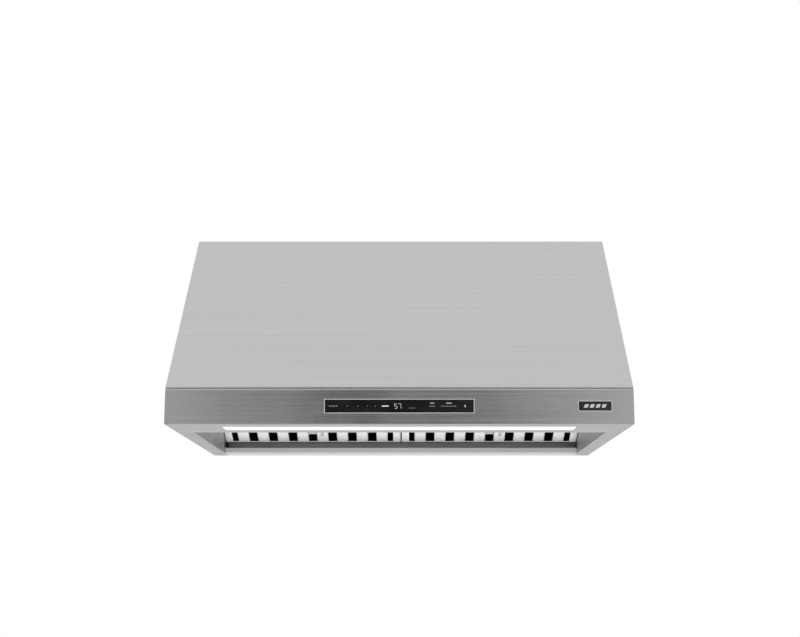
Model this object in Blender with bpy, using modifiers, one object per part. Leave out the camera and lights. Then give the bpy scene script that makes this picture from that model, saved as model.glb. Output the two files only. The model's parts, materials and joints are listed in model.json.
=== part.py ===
"""Under cabinet range hood: a folded stainless shell, two hinged baffle filters, a light strip,
a touch glass, a twin blower with its plenum, and a duct collar with a twin flap damper.

The origin is at the middle of the underside. +Z is up and the front faces -Y.
"""

import math

import bmesh
import bpy
from mathutils import Matrix, Vector

# ---- overall sizes (metres) ----
WIDTH = 0.914
DEPTH = 0.635
HEIGHT = 0.457
TOP_DEPTH = 0.305            # the flat top, as deep as a wall cabinet
FASCIA_HEIGHT = 0.0695
SHEET = 0.0012               # thickness of the folded sheet
GAP = 0.0003                 # clearance between pieces that touch
RETURN = 0.014               # width of a folded return edge

# ---- underside ----
SIDE_FLANGE = 0.034          # from the outer side to the inner side wall
LIGHT_PANEL_DEPTH = 0.146
REAR_FLANGE = 0.057
LINER_DROP = 0.012           # from the slope down to an inner side wall's front corner
LIP_HEIGHT = 0.013
TROUGH_DEPTH = 0.036
TROUGH_WALL = 0.011
TROUGH_BACK_WALL = 0.0285

# ---- light ----
LENS_FRONT = 0.050
LENS_DEPTH = 0.050
LENS_MARGIN = 0.073          # from an inner side wall to the end of the lens
LENS_THICK = 0.003
LIGHT_HOUSING_HEIGHT = 0.034
LED_BOARD_WIDTH = 0.020
DRIVER_SIZE = (0.120, 0.036, 0.024)
DRIVER_PLACE = 0.45          # of the half width of the light, from the middle

# ---- filters ----
HINGE_HEIGHT = 0.211
HINGE_SETBACK = 0.068        # from the light panel's rear edge to the hinge line
HINGE_ROD_RADIUS = 0.003
LOW_EDGE_HEIGHT = 0.027
LOW_EDGE_OVERHANG = 0.005    # how far the low edge reaches over the trough
FILTER_THICK = 0.022
FILTER_EDGE = 0.0175         # width of the frame's face flange
FILTER_LOW_EDGE = 0.0045      # the flange along the low end, which drains into the trough
FILTER_WALL = 0.001
FILTER_SIDE_CLEARANCE = 0.0015
FILTER_HINGE_OFFSET = 0.007
SLOT_COUNT = 9
SLOT_WIDTH = 0.020
SLOT_TUCK = 0.0071           # how far the end slots reach behind the frame's flange
SLOT_HIGH_BAND = 0.004       # metal between the flange and the high end of the slots
SLOT_LOW_BAND = 0.002        # the same at the low end
BAFFLE_SHEET = 0.0009
LOWER_BAFFLE_DEPTH = 0.0075
UPPER_BAFFLE_DEPTH = 0.0065
UPPER_BAFFLE_WIDTH = 0.029
TIE_BAR_PLACE = 0.017        # the middle slot's tie, from the low end of the slots
TIE_BAR_WIDTH = 0.006
HOOK_RADIUS = 0.0065
HOOK_THICK = 0.003
HOOK_INSET = 0.060
KNOB_RADIUS = 0.0038
KNOB_LENGTH = 0.0075
KNOB_NECK = 0.0021           # radius of the knob's stem
KNOB_PLACE = 0.041           # from the filter's low end
CLIP_WIDTH = 0.018
CLIP_INSET = 0.085
CLIP_BELLY = 0.003           # how far the bent spring stands off the frame
CLIP_SHEET = 0.0006

# ---- blower ----
WHEEL_RADIUS = 0.075
WHEEL_WIDTH = 0.076
WHEEL_SHELL = 0.008
WHEEL_BLADES = 16
BLADE_GAP = 0.020
WHEEL_RIM = 0.004            # solid ring left at each end of the blades
SCROLL_CLEARANCE = 0.008     # from the wheel to the scroll wall where the spiral starts
SCROLL_GROWTH = 0.026
SCROLL_TURN = 285            # degrees that the spiral wall runs round the wheel
SCROLL_FIRST = 15            # degrees above the level where it starts
SCROLL_STEPS = 36
SCROLL_SHEET = 0.0012
SCROLL_SIDE_CLEARANCE = 0.005
INLET_RADIUS = 0.055
INLET_LIP = 0.010
MOTOR_RADIUS = 0.052
MOTOR_LENGTH = 0.104
MOTOR_SHOULDER = 0.032       # radius of the domed ends where they meet the shaft
MOTOR_BARREL = 0.075         # length of the straight part
MOTOR_CLEARANCE = 0.020
SHAFT_RADIUS = 0.004
HUB_RADIUS = 0.013
FILTER_TO_SCROLL = 0.018
BLOWER_FROM_BACK = 0.150
BAND_WIDTH = 0.024
CAPACITOR_RADIUS = 0.017
CAPACITOR_LENGTH = 0.060

# ---- plenum, collar and damper ----
PLENUM_SHEET = 0.0012
PLENUM_MARGIN = 0.006
COLLAR_RADIUS = 0.1015
COLLAR_RISE = 0.012
COLLAR_FLANGE = 0.012
FLAP_REST = 0.004            # width of the collar's inner ledge
FLAP_CLEARANCE = 0.0025
FLAP_THICK = 0.0010
DAMPER_ROD_RADIUS = 0.002
DAMPER_RISE = 0.0045          # from the top of the hood to the damper rod
BARREL_RADIUS = 0.004
BARREL_LENGTH = 0.016

# ---- control glass and badge on the fascia ----
GLASS_WIDTH = 0.290
GLASS_HEIGHT = 0.0255
GLASS_THICK = 0.003
GLASS_CENTRE_HEIGHT = 0.035
BEZEL_WIDTH = 0.0016
BEZEL_PROUD = 0.0006
BOARD_MARGIN = 0.012
BOARD_THICK = 0.0016
BADGE_WIDTH = 0.066
BADGE_HEIGHT = 0.0206
BADGE_THICK = 0.0015
BADGE_FROM_SIDE = 0.076

# ---- wiring and fixing ----
BOX_WIDTH = 0.100
BOX_DEPTH = 0.060
BOX_HEIGHT = 0.046
TERMINAL_INSET = 0.020       # from the box's ends to the terminal block
TERMINAL_DEPTH = 0.022
TERMINAL_HEIGHT = 0.018
TERMINAL_RISE = 0.012        # from the box's floor
KEYHOLE_SPACING = 0.560
KEYHOLE_HEAD_RADIUS = 0.007
KEYHOLE_NECK_RADIUS = 0.0035
KEYHOLE_DROP = 0.060
CABINET_HOLE_RADIUS = 0.003
CABINET_HOLE_INSET = 0.045

# ---- places worked out from the sizes ----
FRONT = -DEPTH / 2
BACK = DEPTH / 2
INSET = SHEET + GAP          # one sheet and its clearance
SLOPE_TOP = BACK - TOP_DEPTH
INNER = WIDTH / 2 - SIDE_FLANGE
PANEL_REAR = FRONT + LIGHT_PANEL_DEPTH
LIP = BACK - REAR_FLANGE
ROUND = 32                   # sides of a small round piece
BIG_ROUND = 48               # sides of a large round piece
SMALL_ROUND = 20             # sides of a pin or a screw hole
HARD_EDGE = 0.0004           # bevel of a plate's edge
SOFT_EDGE = 0.0015           # bevel of a moulded or drawn case

SLOPE_LENGTH = math.hypot(SLOPE_TOP - FRONT, HEIGHT - FASCIA_HEIGHT)

hinge = Vector((0, PANEL_REAR + HINGE_SETBACK, HINGE_HEIGHT))
low_edge = Vector((0, LIP + LOW_EDGE_OVERHANG, LOW_EDGE_HEIGHT))
to_low_edge = low_edge - hinge
FILTER_REACH = math.sqrt(to_low_edge.length ** 2 - (FILTER_THICK / 2) ** 2)
FILTER_TILT = math.atan2(-to_low_edge.z, to_low_edge.y) - math.atan2(FILTER_THICK / 2, FILTER_REACH)
FILTER_WIDTH = INNER - 2 * FILTER_SIDE_CLEARANCE

off_slope = Vector((0, math.sin(FILTER_TILT), math.cos(FILTER_TILT)))

SCROLL_START = WHEEL_RADIUS + SCROLL_CLEARANCE
SCROLL_RADIUS = SCROLL_START + SCROLL_GROWTH
SCROLL_WIDTH = WHEEL_WIDTH + 2 * (SCROLL_SIDE_CLEARANCE + SCROLL_SHEET)
WHEEL_X = MOTOR_LENGTH / 2 + MOTOR_CLEARANCE + SCROLL_WIDTH / 2
blower_y = BACK - BLOWER_FROM_BACK
filter_top = hinge + off_slope * (FILTER_THICK / 2)
blower_z = (filter_top.z - math.tan(FILTER_TILT) * (blower_y - filter_top.y)
            + (SCROLL_RADIUS + FILTER_TO_SCROLL) / math.cos(FILTER_TILT))
blower = Vector((0, blower_y, blower_z))

PLENUM_BOTTOM = blower.z + SCROLL_RADIUS + PLENUM_MARGIN
PLENUM_TOP = HEIGHT - INSET - COLLAR_FLANGE / 4
PLENUM_FRONT = BACK - TOP_DEPTH / 2 - COLLAR_RADIUS - COLLAR_FLANGE
PLENUM_BACK = BACK - TOP_DEPTH / 2 + COLLAR_RADIUS + COLLAR_FLANGE
PLENUM_HALF = WHEEL_X + SCROLL_WIDTH / 2 + PLENUM_MARGIN
collar = Vector((0, BACK - TOP_DEPTH / 2, HEIGHT))
DAMPER_HEIGHT = HEIGHT + DAMPER_RISE

STEEL = (0.60, 0.60, 0.61)
STEEL_DARK = (0.42, 0.42, 0.43)
ZINC = (0.50, 0.51, 0.52)
BLACK = (0.012, 0.012, 0.013)


# ---- collections, finishes and basic shapes ----

def clear_scene():
    for obj in list(bpy.data.objects):
        bpy.data.objects.remove(obj, do_unlink=True)


def new_collection(name):
    collection = bpy.data.collections.new(name)
    bpy.context.scene.collection.children.link(collection)
    return collection


clear_scene()
HOOD = new_collection("range_hood")
CUTTERS = new_collection("cutters")


def finish(obj, colour, roughness=0.35, metallic=1.0):
    """Gives the object a Principled material of its own."""
    material = bpy.data.materials.new(obj.name)
    material.use_nodes = True
    shader = material.node_tree.nodes["Principled BSDF"]
    shader.inputs["Base Color"].default_value = (*colour, 1)
    shader.inputs["Roughness"].default_value = roughness
    shader.inputs["Metallic"].default_value = metallic
    obj.data.materials.clear()
    obj.data.materials.append(material)
    return obj


def add_mesh(name, bm, location=(0, 0, 0), collection=HOOD):
    mesh = bpy.data.meshes.new(name)
    bm.to_mesh(mesh)
    bm.free()
    obj = bpy.data.objects.new(name, mesh)
    obj.location = location
    collection.objects.link(obj)
    return obj


def box(name, low, high, collection=HOOD):
    """A box between two corners, with its origin at its middle."""
    low, high = Vector(low), Vector(high)
    bm = bmesh.new()
    bmesh.ops.create_cube(bm, size=1, matrix=Matrix.Diagonal((*(high - low), 1)))
    return add_mesh(name, bm, (low + high) / 2, collection)


def add_box(bm, low, high):
    """Adds a box between two corners to a mesh that holds several."""
    low, high = Vector(low), Vector(high)
    place = Matrix.Translation((low + high) / 2) @ Matrix.Diagonal((*(high - low), 1))
    bmesh.ops.create_cube(bm, size=1, matrix=place)


AXIS_TURN = {
    "X": Matrix.Rotation(math.pi / 2, 4, "Y"),
    "Y": Matrix.Rotation(-math.pi / 2, 4, "X"),
    "Z": Matrix.Identity(4),
}


def cylinder(name, radius, length, axis, location, sides=ROUND, collection=HOOD):
    """A cylinder about one of the axes, with its origin at its middle."""
    bm = bmesh.new()
    bmesh.ops.create_cone(bm, cap_ends=True, segments=sides, radius1=radius, radius2=radius,
                          depth=length, matrix=AXIS_TURN[axis])
    obj = add_mesh(name, bm, location, collection)
    smooth(obj)
    return obj


def smooth(obj):
    obj.data.shade_smooth()
    obj.data.set_sharp_from_angle(angle=math.radians(40))


def turned(name, profile, location, axis="Z", sides=ROUND, collection=HOOD):
    """Turns a closed profile of (radius, height) points about an axis."""
    bm = bmesh.new()
    corners = [bm.verts.new((radius, 0, height)) for radius, height in profile]
    for first, second in zip(corners, corners[1:] + corners[:1]):
        bm.edges.new((first, second))
    obj = add_mesh(name, bm, location, collection)
    screw = obj.modifiers.new("turn", "SCREW")
    screw.steps = sides
    screw.render_steps = sides
    screw.use_merge_vertices = True
    screw.merge_threshold = 0.00001
    obj.rotation_euler = AXIS_TURN[axis].to_euler()
    return obj


def curve_to_mesh(curve_obj, name, collection):
    """Turns a curve object into a mesh object whose caps are welded on."""
    bpy.context.view_layer.update()
    graph = bpy.context.evaluated_depsgraph_get()
    mesh = bpy.data.meshes.new_from_object(curve_obj.evaluated_get(graph))
    bm = bmesh.new()
    bm.from_mesh(mesh)
    bmesh.ops.remove_doubles(bm, verts=bm.verts, dist=0.00001)
    bm.to_mesh(mesh)
    bm.free()
    obj = bpy.data.objects.new(name, mesh)
    obj.matrix_world = curve_obj.matrix_world
    collection.objects.link(obj)
    bpy.data.objects.remove(curve_obj, do_unlink=True)
    return obj


def flat_outline(name, outlines, thickness, collection=HOOD):
    """Fills closed outlines (the later ones are holes) and gives them a thickness."""
    curve = bpy.data.curves.new(name, "CURVE")
    curve.dimensions = "2D"
    curve.fill_mode = "BOTH"
    curve.extrude = thickness / 2
    for outline in outlines:
        spline = curve.splines.new("POLY")
        spline.points.add(len(outline) - 1)
        for point, place in zip(spline.points, outline):
            point.co = (*place, 0, 1)
        spline.use_cyclic_u = True
    curve_obj = bpy.data.objects.new(name + "_outline", curve)
    HOOD.objects.link(curve_obj)
    return curve_to_mesh(curve_obj, name, collection)


def side_outline(name, outline, x_low, x_high, collection=HOOD):
    """Extrudes a (y, z) outline along X between two places."""
    obj = flat_outline(name, [outline], x_high - x_low, collection)
    obj.rotation_euler = (math.pi / 2, 0, math.pi / 2)
    obj.location = ((x_low + x_high) / 2, 0, 0)
    return obj


def sheet_outline(path, thickness):
    """The closed outline of a folded sheet, whose thickness lies to the left of its path."""
    points = [Vector(place) for place in path]
    inner = []
    for index, point in enumerate(points):
        before = points[index] - points[index - 1] if index else None
        after = points[index + 1] - point if index + 1 < len(points) else None
        sides = [Vector((-step.y, step.x)).normalized() for step in (before, after) if step]
        mitre = sum(sides, Vector((0, 0))).normalized()
        inner.append(point + mitre * (thickness / mitre.dot(sides[0])))
    return [tuple(p) for p in points] + [tuple(p) for p in reversed(inner)]


def folded(name, path, x_low, x_high, thickness=SHEET):
    """A sheet folded along a (y, z) path and as long as the span in X."""
    return side_outline(name, sheet_outline(path, thickness), x_low, x_high)


def circle(radius, centre=(0, 0), sides=BIG_ROUND):
    turns = [2 * math.pi * index / sides for index in range(sides)]
    return [(centre[0] + radius * math.cos(a), centre[1] + radius * math.sin(a)) for a in turns]


def boolean(obj, cutter, operation):
    modifier = obj.modifiers.new(cutter.name, "BOOLEAN")
    modifier.operation = operation
    modifier.object = cutter
    modifier.solver = "EXACT"
    cutter.hide_render = True
    cutter.display_type = "WIRE"
    if cutter.name not in CUTTERS.objects:
        for owner in cutter.users_collection:
            owner.objects.unlink(cutter)
        CUTTERS.objects.link(cutter)


def cut(obj, cutter):
    boolean(obj, cutter, "DIFFERENCE")


def join(obj, piece):
    boolean(obj, piece, "UNION")


def hang_on(parent, *pieces):
    for piece in pieces:
        piece.parent = parent


def empty(name, location, rotation=(0, 0, 0)):
    obj = bpy.data.objects.new(name, None)
    obj.location = location
    obj.rotation_euler = rotation
    HOOD.objects.link(obj)
    return obj


SIDES = (("left", -1), ("right", 1))


# ---- outer shell ----

def make_slope_panel():
    """The long sloped front, with a return folded into the top and one over the fascia."""
    path = [
        (FRONT + RETURN, FASCIA_HEIGHT),
        (FRONT, FASCIA_HEIGHT),
        (SLOPE_TOP, HEIGHT),
        (SLOPE_TOP + RETURN, HEIGHT),
    ]
    panel = side_outline("front_slope_panel", sheet_outline(path[::-1], SHEET), -WIDTH / 2, WIDTH / 2)
    finish(panel, STEEL, 0.3)


def make_fascia():
    """The vertical front band, with a window for the control glass."""
    top = FASCIA_HEIGHT - GAP
    path = [(FRONT + RETURN, top), (FRONT, top), (FRONT, 0)]
    fascia = folded("front_fascia", path, -WIDTH / 2, WIDTH / 2)
    half = GLASS_WIDTH / 2 + BEZEL_WIDTH + GAP
    rise = GLASS_HEIGHT / 2 + BEZEL_WIDTH + GAP
    window = box("glass_window", (-half, FRONT - SHEET, GLASS_CENTRE_HEIGHT - rise),
                 (half, FRONT + 2 * SHEET, GLASS_CENTRE_HEIGHT + rise), CUTTERS)
    cut(fascia, window)
    finish(fascia, STEEL, 0.3)


def slope_height(y):
    """How high the sloped front stands at a depth."""
    return FASCIA_HEIGHT + (y - FRONT) * (HEIGHT - FASCIA_HEIGHT) / (SLOPE_TOP - FRONT)


def side_profile():
    """The side panel's outline, one sheet inside the front and the slope."""
    shift = INSET * SLOPE_LENGTH / (HEIGHT - FASCIA_HEIGHT)
    rise = (HEIGHT - FASCIA_HEIGHT) / (SLOPE_TOP - FRONT)
    front = FRONT + INSET
    return [
        (front, 0),
        (front, FASCIA_HEIGHT + (INSET - shift) * rise),
        (SLOPE_TOP + shift - INSET / rise, HEIGHT - INSET),
        (BACK, HEIGHT - INSET),
        (BACK, 0),
    ]


def make_side_panels():
    """Each side is a plate with a flange folded in along the underside."""
    for name, side in SIDES:
        outer = side * WIDTH / 2
        inner = side * (WIDTH / 2 - SHEET)
        panel = side_outline(name + "_side_panel", side_profile(), min(outer, inner), max(outer, inner))
        edge = side * INNER
        flange = box(name + "_side_flange", (min(outer - side * SHEET / 2, edge), PANEL_REAR + GAP, 0),
                     (max(outer - side * SHEET / 2, edge), BACK, SHEET), CUTTERS)
        join(panel, flange)
        notch = box(name + "_fascia_notch", (outer - SHEET * 2, FRONT, FASCIA_HEIGHT - GAP - INSET),
                    (outer + SHEET * 2, FRONT + RETURN + GAP, FASCIA_HEIGHT + INSET), CUTTERS)
        cut(panel, notch)
        finish(panel, STEEL, 0.3)


def make_back_panel():
    """The back closes the shell between the sides and hangs on two wall screws."""
    half = WIDTH / 2 - INSET
    outline = [(-half, INSET), (half, INSET), (half, HEIGHT - INSET), (-half, HEIGHT - INSET)]
    holes = []
    head_height = HEIGHT - KEYHOLE_DROP
    for side in (-1, 1):
        centre = (side * KEYHOLE_SPACING / 2, head_height)
        holes.append(keyhole(centre))
    panel = flat_outline("back_panel", [outline] + holes, SHEET)
    panel.rotation_euler = (math.pi / 2, 0, 0)
    panel.location = (0, BACK - SHEET / 2, 0)
    finish(panel, ZINC, 0.45)


def keyhole(centre):
    """A round hole for a screw's head, with a narrow slot above it for the neck."""
    start = math.asin(KEYHOLE_NECK_RADIUS / KEYHOLE_HEAD_RADIUS)
    head = [math.pi / 2 + start + (2 * math.pi - 2 * start) * i / 20 for i in range(21)]
    neck_height = centre[1] + 2 * KEYHOLE_HEAD_RADIUS
    neck = [math.pi * i / 8 for i in range(9)]
    points = [(centre[0] + KEYHOLE_HEAD_RADIUS * math.cos(a),
               centre[1] + KEYHOLE_HEAD_RADIUS * math.sin(a)) for a in head]
    points += [(centre[0] + KEYHOLE_NECK_RADIUS * math.cos(a),
                neck_height + KEYHOLE_NECK_RADIUS * math.sin(a)) for a in neck]
    return points


def make_top_panel():
    """The flat top, with the duct hole and four holes for the cabinet's screws."""
    half = WIDTH / 2
    front = SLOPE_TOP + RETURN + GAP
    outline = [(-half, front), (half, front), (half, BACK), (-half, BACK)]
    holes = [circle(COLLAR_RADIUS + GAP, collar.xy)]
    for side in (-1, 1):
        for place in (front + CABINET_HOLE_INSET, BACK - CABINET_HOLE_INSET):
            holes.append(circle(CABINET_HOLE_RADIUS, (side * (half - CABINET_HOLE_INSET), place), 16))
    panel = flat_outline("top_panel", [outline] + holes, SHEET)
    panel.location = (0, 0, HEIGHT - SHEET / 2)
    finish(panel, STEEL, 0.35)


def make_liners():
    """The inner side walls of the capture recess, with a hole for the hinge rod's end."""
    over_filter = FILTER_THICK + HOOK_RADIUS
    over_hinge = (hinge.z + slope_height(hinge.y)) / 2
    outline = [
        (PANEL_REAR + INSET, INSET),
        (LIP - GAP, INSET),
        (LIP - GAP, LOW_EDGE_HEIGHT + 2 * over_filter),
        (hinge.y, over_hinge),
        (PANEL_REAR + INSET, slope_height(PANEL_REAR) - LINER_DROP),
    ]
    for name, side in SIDES:
        inner, outer = side * INNER, side * (INNER + SHEET)
        liner = side_outline(name + "_liner", outline, min(inner, outer), max(inner, outer))
        hole = cylinder(name + "_rod_hole", HINGE_ROD_RADIUS + GAP, 6 * SHEET, "X",
                        (outer, hinge.y, hinge.z), 24, CUTTERS)
        cut(liner, hole)
        finish(liner, STEEL_DARK, 0.4)


# ---- underside and light ----

def make_light_panel():
    """The front of the underside, folded up behind the light as the recess's front wall."""
    wall_top = hinge.z - HOOK_RADIUS
    path = [
        (FRONT + INSET, 0),
        (PANEL_REAR, 0),
        (PANEL_REAR + HINGE_SETBACK - 3 * HOOK_RADIUS, wall_top),
    ]
    panel = folded("light_panel", path, -INNER + GAP, INNER - GAP)
    for name, side in SIDES:
        x_low, x_high = sorted((side * (INNER - SHEET), side * (WIDTH / 2 - INSET)))
        ear = box(name + "_panel_ear", (x_low, FRONT + INSET, 0), (x_high, PANEL_REAR, SHEET), CUTTERS)
        join(panel, ear)
    half = INNER - LENS_MARGIN + GAP
    window = box("lens_window", (-half, FRONT + LENS_FRONT - GAP, -SHEET),
                 (half, FRONT + LENS_FRONT + LENS_DEPTH + GAP, 2 * SHEET), CUTTERS)
    cut(panel, window)
    finish(panel, STEEL, 0.3)


def make_light():
    """A diffuser in the panel's window, the LED strip above it, and the channel over both."""
    half = INNER - LENS_MARGIN
    front = FRONT + LENS_FRONT
    rear = front + LENS_DEPTH
    lens = box("light_lens", (-half, front, 0), (half, rear, LENS_THICK))
    finish(lens, (0.9, 0.9, 0.88), 0.5, 0)
    rim = INSET
    flange = RETURN
    bottom = SHEET + GAP
    path = [
        (front - flange, bottom),
        (front - rim, bottom),
        (front - rim, LIGHT_HOUSING_HEIGHT),
        (rear + rim, LIGHT_HOUSING_HEIGHT),
        (rear + rim, bottom),
        (rear + flange, bottom),
    ]
    housing = folded("light_housing", path, -half - flange, half + flange)
    finish(housing, (0.75, 0.75, 0.75), 0.5, 0)
    middle = (front + rear) / 2
    board_top = LIGHT_HOUSING_HEIGHT - GAP
    board = box("led_board", (-half + flange, middle - LED_BOARD_WIDTH / 2, board_top - BOARD_THICK),
                (half - flange, middle + LED_BOARD_WIDTH / 2, board_top))
    finish(board, (0.85, 0.85, 0.82), 0.5, 0)
    driver_bottom = LIGHT_HOUSING_HEIGHT + INSET
    driver_size = Vector(DRIVER_SIZE)
    driver_low = Vector((half * DRIVER_PLACE, middle - driver_size.y / 2, driver_bottom))
    driver = box("led_driver", driver_low, driver_low + driver_size)
    bevel(driver, SOFT_EDGE)
    finish(driver, (0.70, 0.71, 0.72), 0.5, 0)


def bevel(obj, width, segments=1):
    modifier = obj.modifiers.new("edge", "BEVEL")
    modifier.width = width
    modifier.segments = segments
    modifier.limit_method = "ANGLE"


def make_rear_rail():
    """The rear flange of the underside, folded up into the lip in front of the trough."""
    path = [(LIP, LIP_HEIGHT), (LIP, 0), (BACK - INSET, 0)]
    rail = folded("rear_rail", path, -INNER + GAP, INNER - GAP)
    finish(rail, STEEL, 0.3)


def make_trough():
    """The tray that the grease runs into, with a tall back wall behind the filters."""
    front = LIP + INSET
    path = [
        (front, INSET + TROUGH_WALL),
        (front, INSET),
        (front + TROUGH_DEPTH, INSET),
        (front + TROUGH_DEPTH, TROUGH_BACK_WALL),
    ]
    half = INNER - INSET
    trough = folded("grease_trough", path, -half, half)
    for name, side in SIDES:
        x_low, x_high = sorted((side * half, side * (half - SHEET)))
        cap = box(name + "_trough_end", (x_low, front + SHEET / 2, INSET + SHEET / 2),
                  (x_high, front + TROUGH_DEPTH - SHEET / 2, INSET + TROUGH_WALL - SHEET / 2), CUTTERS)
        join(trough, cap)
    finish(trough, STEEL, 0.35)


# ---- filters ----

def make_hinge_rod():
    """The rod that the filters' front hooks hang on, held in the two inner side walls."""
    length = 2 * (INNER + SHEET + HINGE_ROD_RADIUS)
    rod = cylinder("filter_hinge_rod", HINGE_ROD_RADIUS, length, "X", hinge, 20)
    finish(rod, ZINC, 0.3)


def corrugated(name, crests, crest_width, depth, level, length_span, half_width):
    """A sheet folded up over each crest in turn, lying along the filter's slope."""
    path = [(-half_width, level)]
    for centre in crests:
        left, right = centre - crest_width / 2, centre + crest_width / 2
        path += [(left, level), (left, level + depth), (right, level + depth), (right, level)]
    path.append((half_width, level))
    start, end = length_span
    sheet = flat_outline(name, [sheet_outline(path, BAFFLE_SHEET)], end - start)
    sheet.rotation_euler = (math.pi / 2, 0, 0)
    sheet.location = (0, (start + end) / 2, 0)
    return sheet


def slot_cutter(name, spans, rows, low, high):
    """One cutter that holds a box for each span in X and each row along the slope."""
    bm = bmesh.new()
    for left, right in spans:
        for start, end in rows(left, right):
            add_box(bm, (left, start, low), (right, end, high))
    return add_mesh(name, bm, collection=CUTTERS)


def make_filter(name, side):
    """One baffle filter, built flat under an empty on its hinge line and tilted with it."""
    centre_x = side * INNER / 2
    pivot = empty(name + "_filter_pivot", (centre_x, hinge.y, hinge.z), (-FILTER_TILT, 0, 0))
    half = FILTER_WIDTH / 2
    start, end = FILTER_HINGE_OFFSET, FILTER_REACH
    low, high = -FILTER_THICK / 2, FILTER_THICK / 2

    frame = box(name + "_filter_frame", (-half, start, low), (half, end, high))
    window = box(name + "_filter_window", (-half + FILTER_EDGE, start + FILTER_EDGE, 2 * low),
                 (half - FILTER_EDGE, end - FILTER_LOW_EDGE, 2 * high), CUTTERS)
    wall = FILTER_WALL
    channel = box(name + "_filter_channel", (-half + wall, start + wall, low + wall),
                  (half - wall, end - wall, high - wall), CUTTERS)
    cut(frame, window)
    cut(frame, channel)
    hooks = add_hooks(name, frame, half)
    finish(frame, STEEL, 0.3)

    inner_half = half - wall - GAP
    span = (start + wall + GAP, end - wall - GAP)
    open_half = half - FILTER_EDGE + SLOT_TUCK
    pitch = (2 * open_half - SLOT_WIDTH) / (SLOT_COUNT - 1)
    centres = [(index - (SLOT_COUNT - 1) / 2) * pitch for index in range(SLOT_COUNT)]
    slot_start = start + FILTER_EDGE + SLOT_HIGH_BAND
    slot_end = end - FILTER_LOW_EDGE - SLOT_LOW_BAND
    lower = make_lower_baffles(name, centres, inner_half, span, (slot_start, slot_end), low + wall + GAP)
    upper = make_upper_baffles(name, centres, inner_half, span, (slot_start, slot_end), high - wall - GAP)
    knob = make_knob(name, pitch, end, low + wall + GAP)
    clips = make_clips(name, half, end)
    hang_on(pivot, frame, window, channel, *hooks, *lower, *upper, *knob, *clips)


def add_hooks(name, frame, half):
    """Two open hooks at the frame's high end, with running clearance on the hinge rod."""
    pieces = []
    for index, place in enumerate((-half + HOOK_INSET, half - HOOK_INSET)):
        label = f"{name}_hook_{index}"
        eye = cylinder(label + "_eye", HOOK_RADIUS, HOOK_THICK, "X", (place, 0, 0), 24, CUTTERS)
        arm = box(label + "_arm", (place - HOOK_THICK / 2, 0, -HOOK_RADIUS * 0.98),
                  (place + HOOK_THICK / 2, FILTER_HINGE_OFFSET + FILTER_WALL / 2, 0), CUTTERS)
        bore = cylinder(label + "_bore", HINGE_ROD_RADIUS + GAP, 2 * HOOK_THICK, "X", (place, 0, 0),
                        24, CUTTERS)
        mouth_half = HINGE_ROD_RADIUS + GAP
        mouth = box(label + "_mouth", (place - HOOK_THICK, -mouth_half, 0),
                    (place + HOOK_THICK, mouth_half * 0.98, 2 * HOOK_RADIUS), CUTTERS)
        join(frame, arm)
        join(frame, eye)
        cut(frame, bore)
        cut(frame, mouth)
        pieces += [eye, arm, bore, mouth]
    return pieces


def make_lower_baffles(name, centres, half, span, slots, level):
    """The strips that face the cooktop: each slot is cut through a crest between two strips."""
    sheet = corrugated(name + "_lower_baffles", centres, SLOT_WIDTH, LOWER_BAFFLE_DEPTH, level,
                       span, half)
    middle = centres[SLOT_COUNT // 2]
    tie_end = slots[1] - TIE_BAR_PLACE

    def rows(left, right):
        if left < middle < right:
            return [(slots[0], tie_end - TIE_BAR_WIDTH), (tie_end, slots[1])]
        return [slots]

    reach = SLOT_WIDTH / 2 - BAFFLE_SHEET * 1.5
    spans = [(centre - reach, centre + reach) for centre in centres]
    cutter = slot_cutter(name + "_lower_slots", spans, rows, level + LOWER_BAFFLE_DEPTH / 2,
                         level + 2 * LOWER_BAFFLE_DEPTH)
    cut(sheet, cutter)
    finish(sheet, STEEL, 0.3)
    return [sheet, cutter]


def make_upper_baffles(name, centres, half, span, slots, level):
    """The caps over the slots, which turn the air twice, open along both their edges."""
    base = level - UPPER_BAFFLE_DEPTH - BAFFLE_SHEET
    sheet = corrugated(name + "_upper_baffles", centres, UPPER_BAFFLE_WIDTH, UPPER_BAFFLE_DEPTH, base,
                       span, half)
    reach = UPPER_BAFFLE_WIDTH / 2 + BAFFLE_SHEET * 0.5
    edges = [-half + FILTER_EDGE] + [place for centre in centres for place in
                                     (centre - reach, centre + reach)] + [half - FILTER_EDGE]
    spans = [pair for pair in zip(edges[::2], edges[1::2]) if pair[1] - pair[0] > BAFFLE_SHEET * 2]
    cutter = slot_cutter(name + "_upper_slots", spans, lambda left, right: [slots],
                         base - UPPER_BAFFLE_DEPTH, base + BAFFLE_SHEET * 1.5)
    cut(sheet, cutter)
    finish(sheet, STEEL, 0.35)
    return [sheet, cutter]


def make_knob(name, pitch, end, level):
    """The pull knob, riveted through the strip beside the middle slot."""
    place = (pitch / 2, end - KNOB_PLACE, level)
    stem = 2 * BAFFLE_SHEET
    head = KNOB_LENGTH / 2
    edge = KNOB_LENGTH / 8
    profile = [
        (0, stem),
        (KNOB_NECK, stem),
        (KNOB_NECK, -head + edge),
        (KNOB_RADIUS, -head),
        (KNOB_RADIUS, -KNOB_LENGTH + edge),
        (KNOB_RADIUS - edge, -KNOB_LENGTH),
        (0, -KNOB_LENGTH),
    ]
    knob = turned(name + "_filter_knob", profile, place, sides=SMALL_ROUND)
    smooth(knob)
    finish(knob, (0.7, 0.7, 0.7), 0.2)
    hole = cylinder(name + "_knob_hole", KNOB_NECK + GAP, 4 * stem, "Z", place,
                    SMALL_ROUND, CUTTERS)
    cut(bpy.data.objects[name + "_lower_baffles"], hole)
    return [knob, hole]


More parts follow.
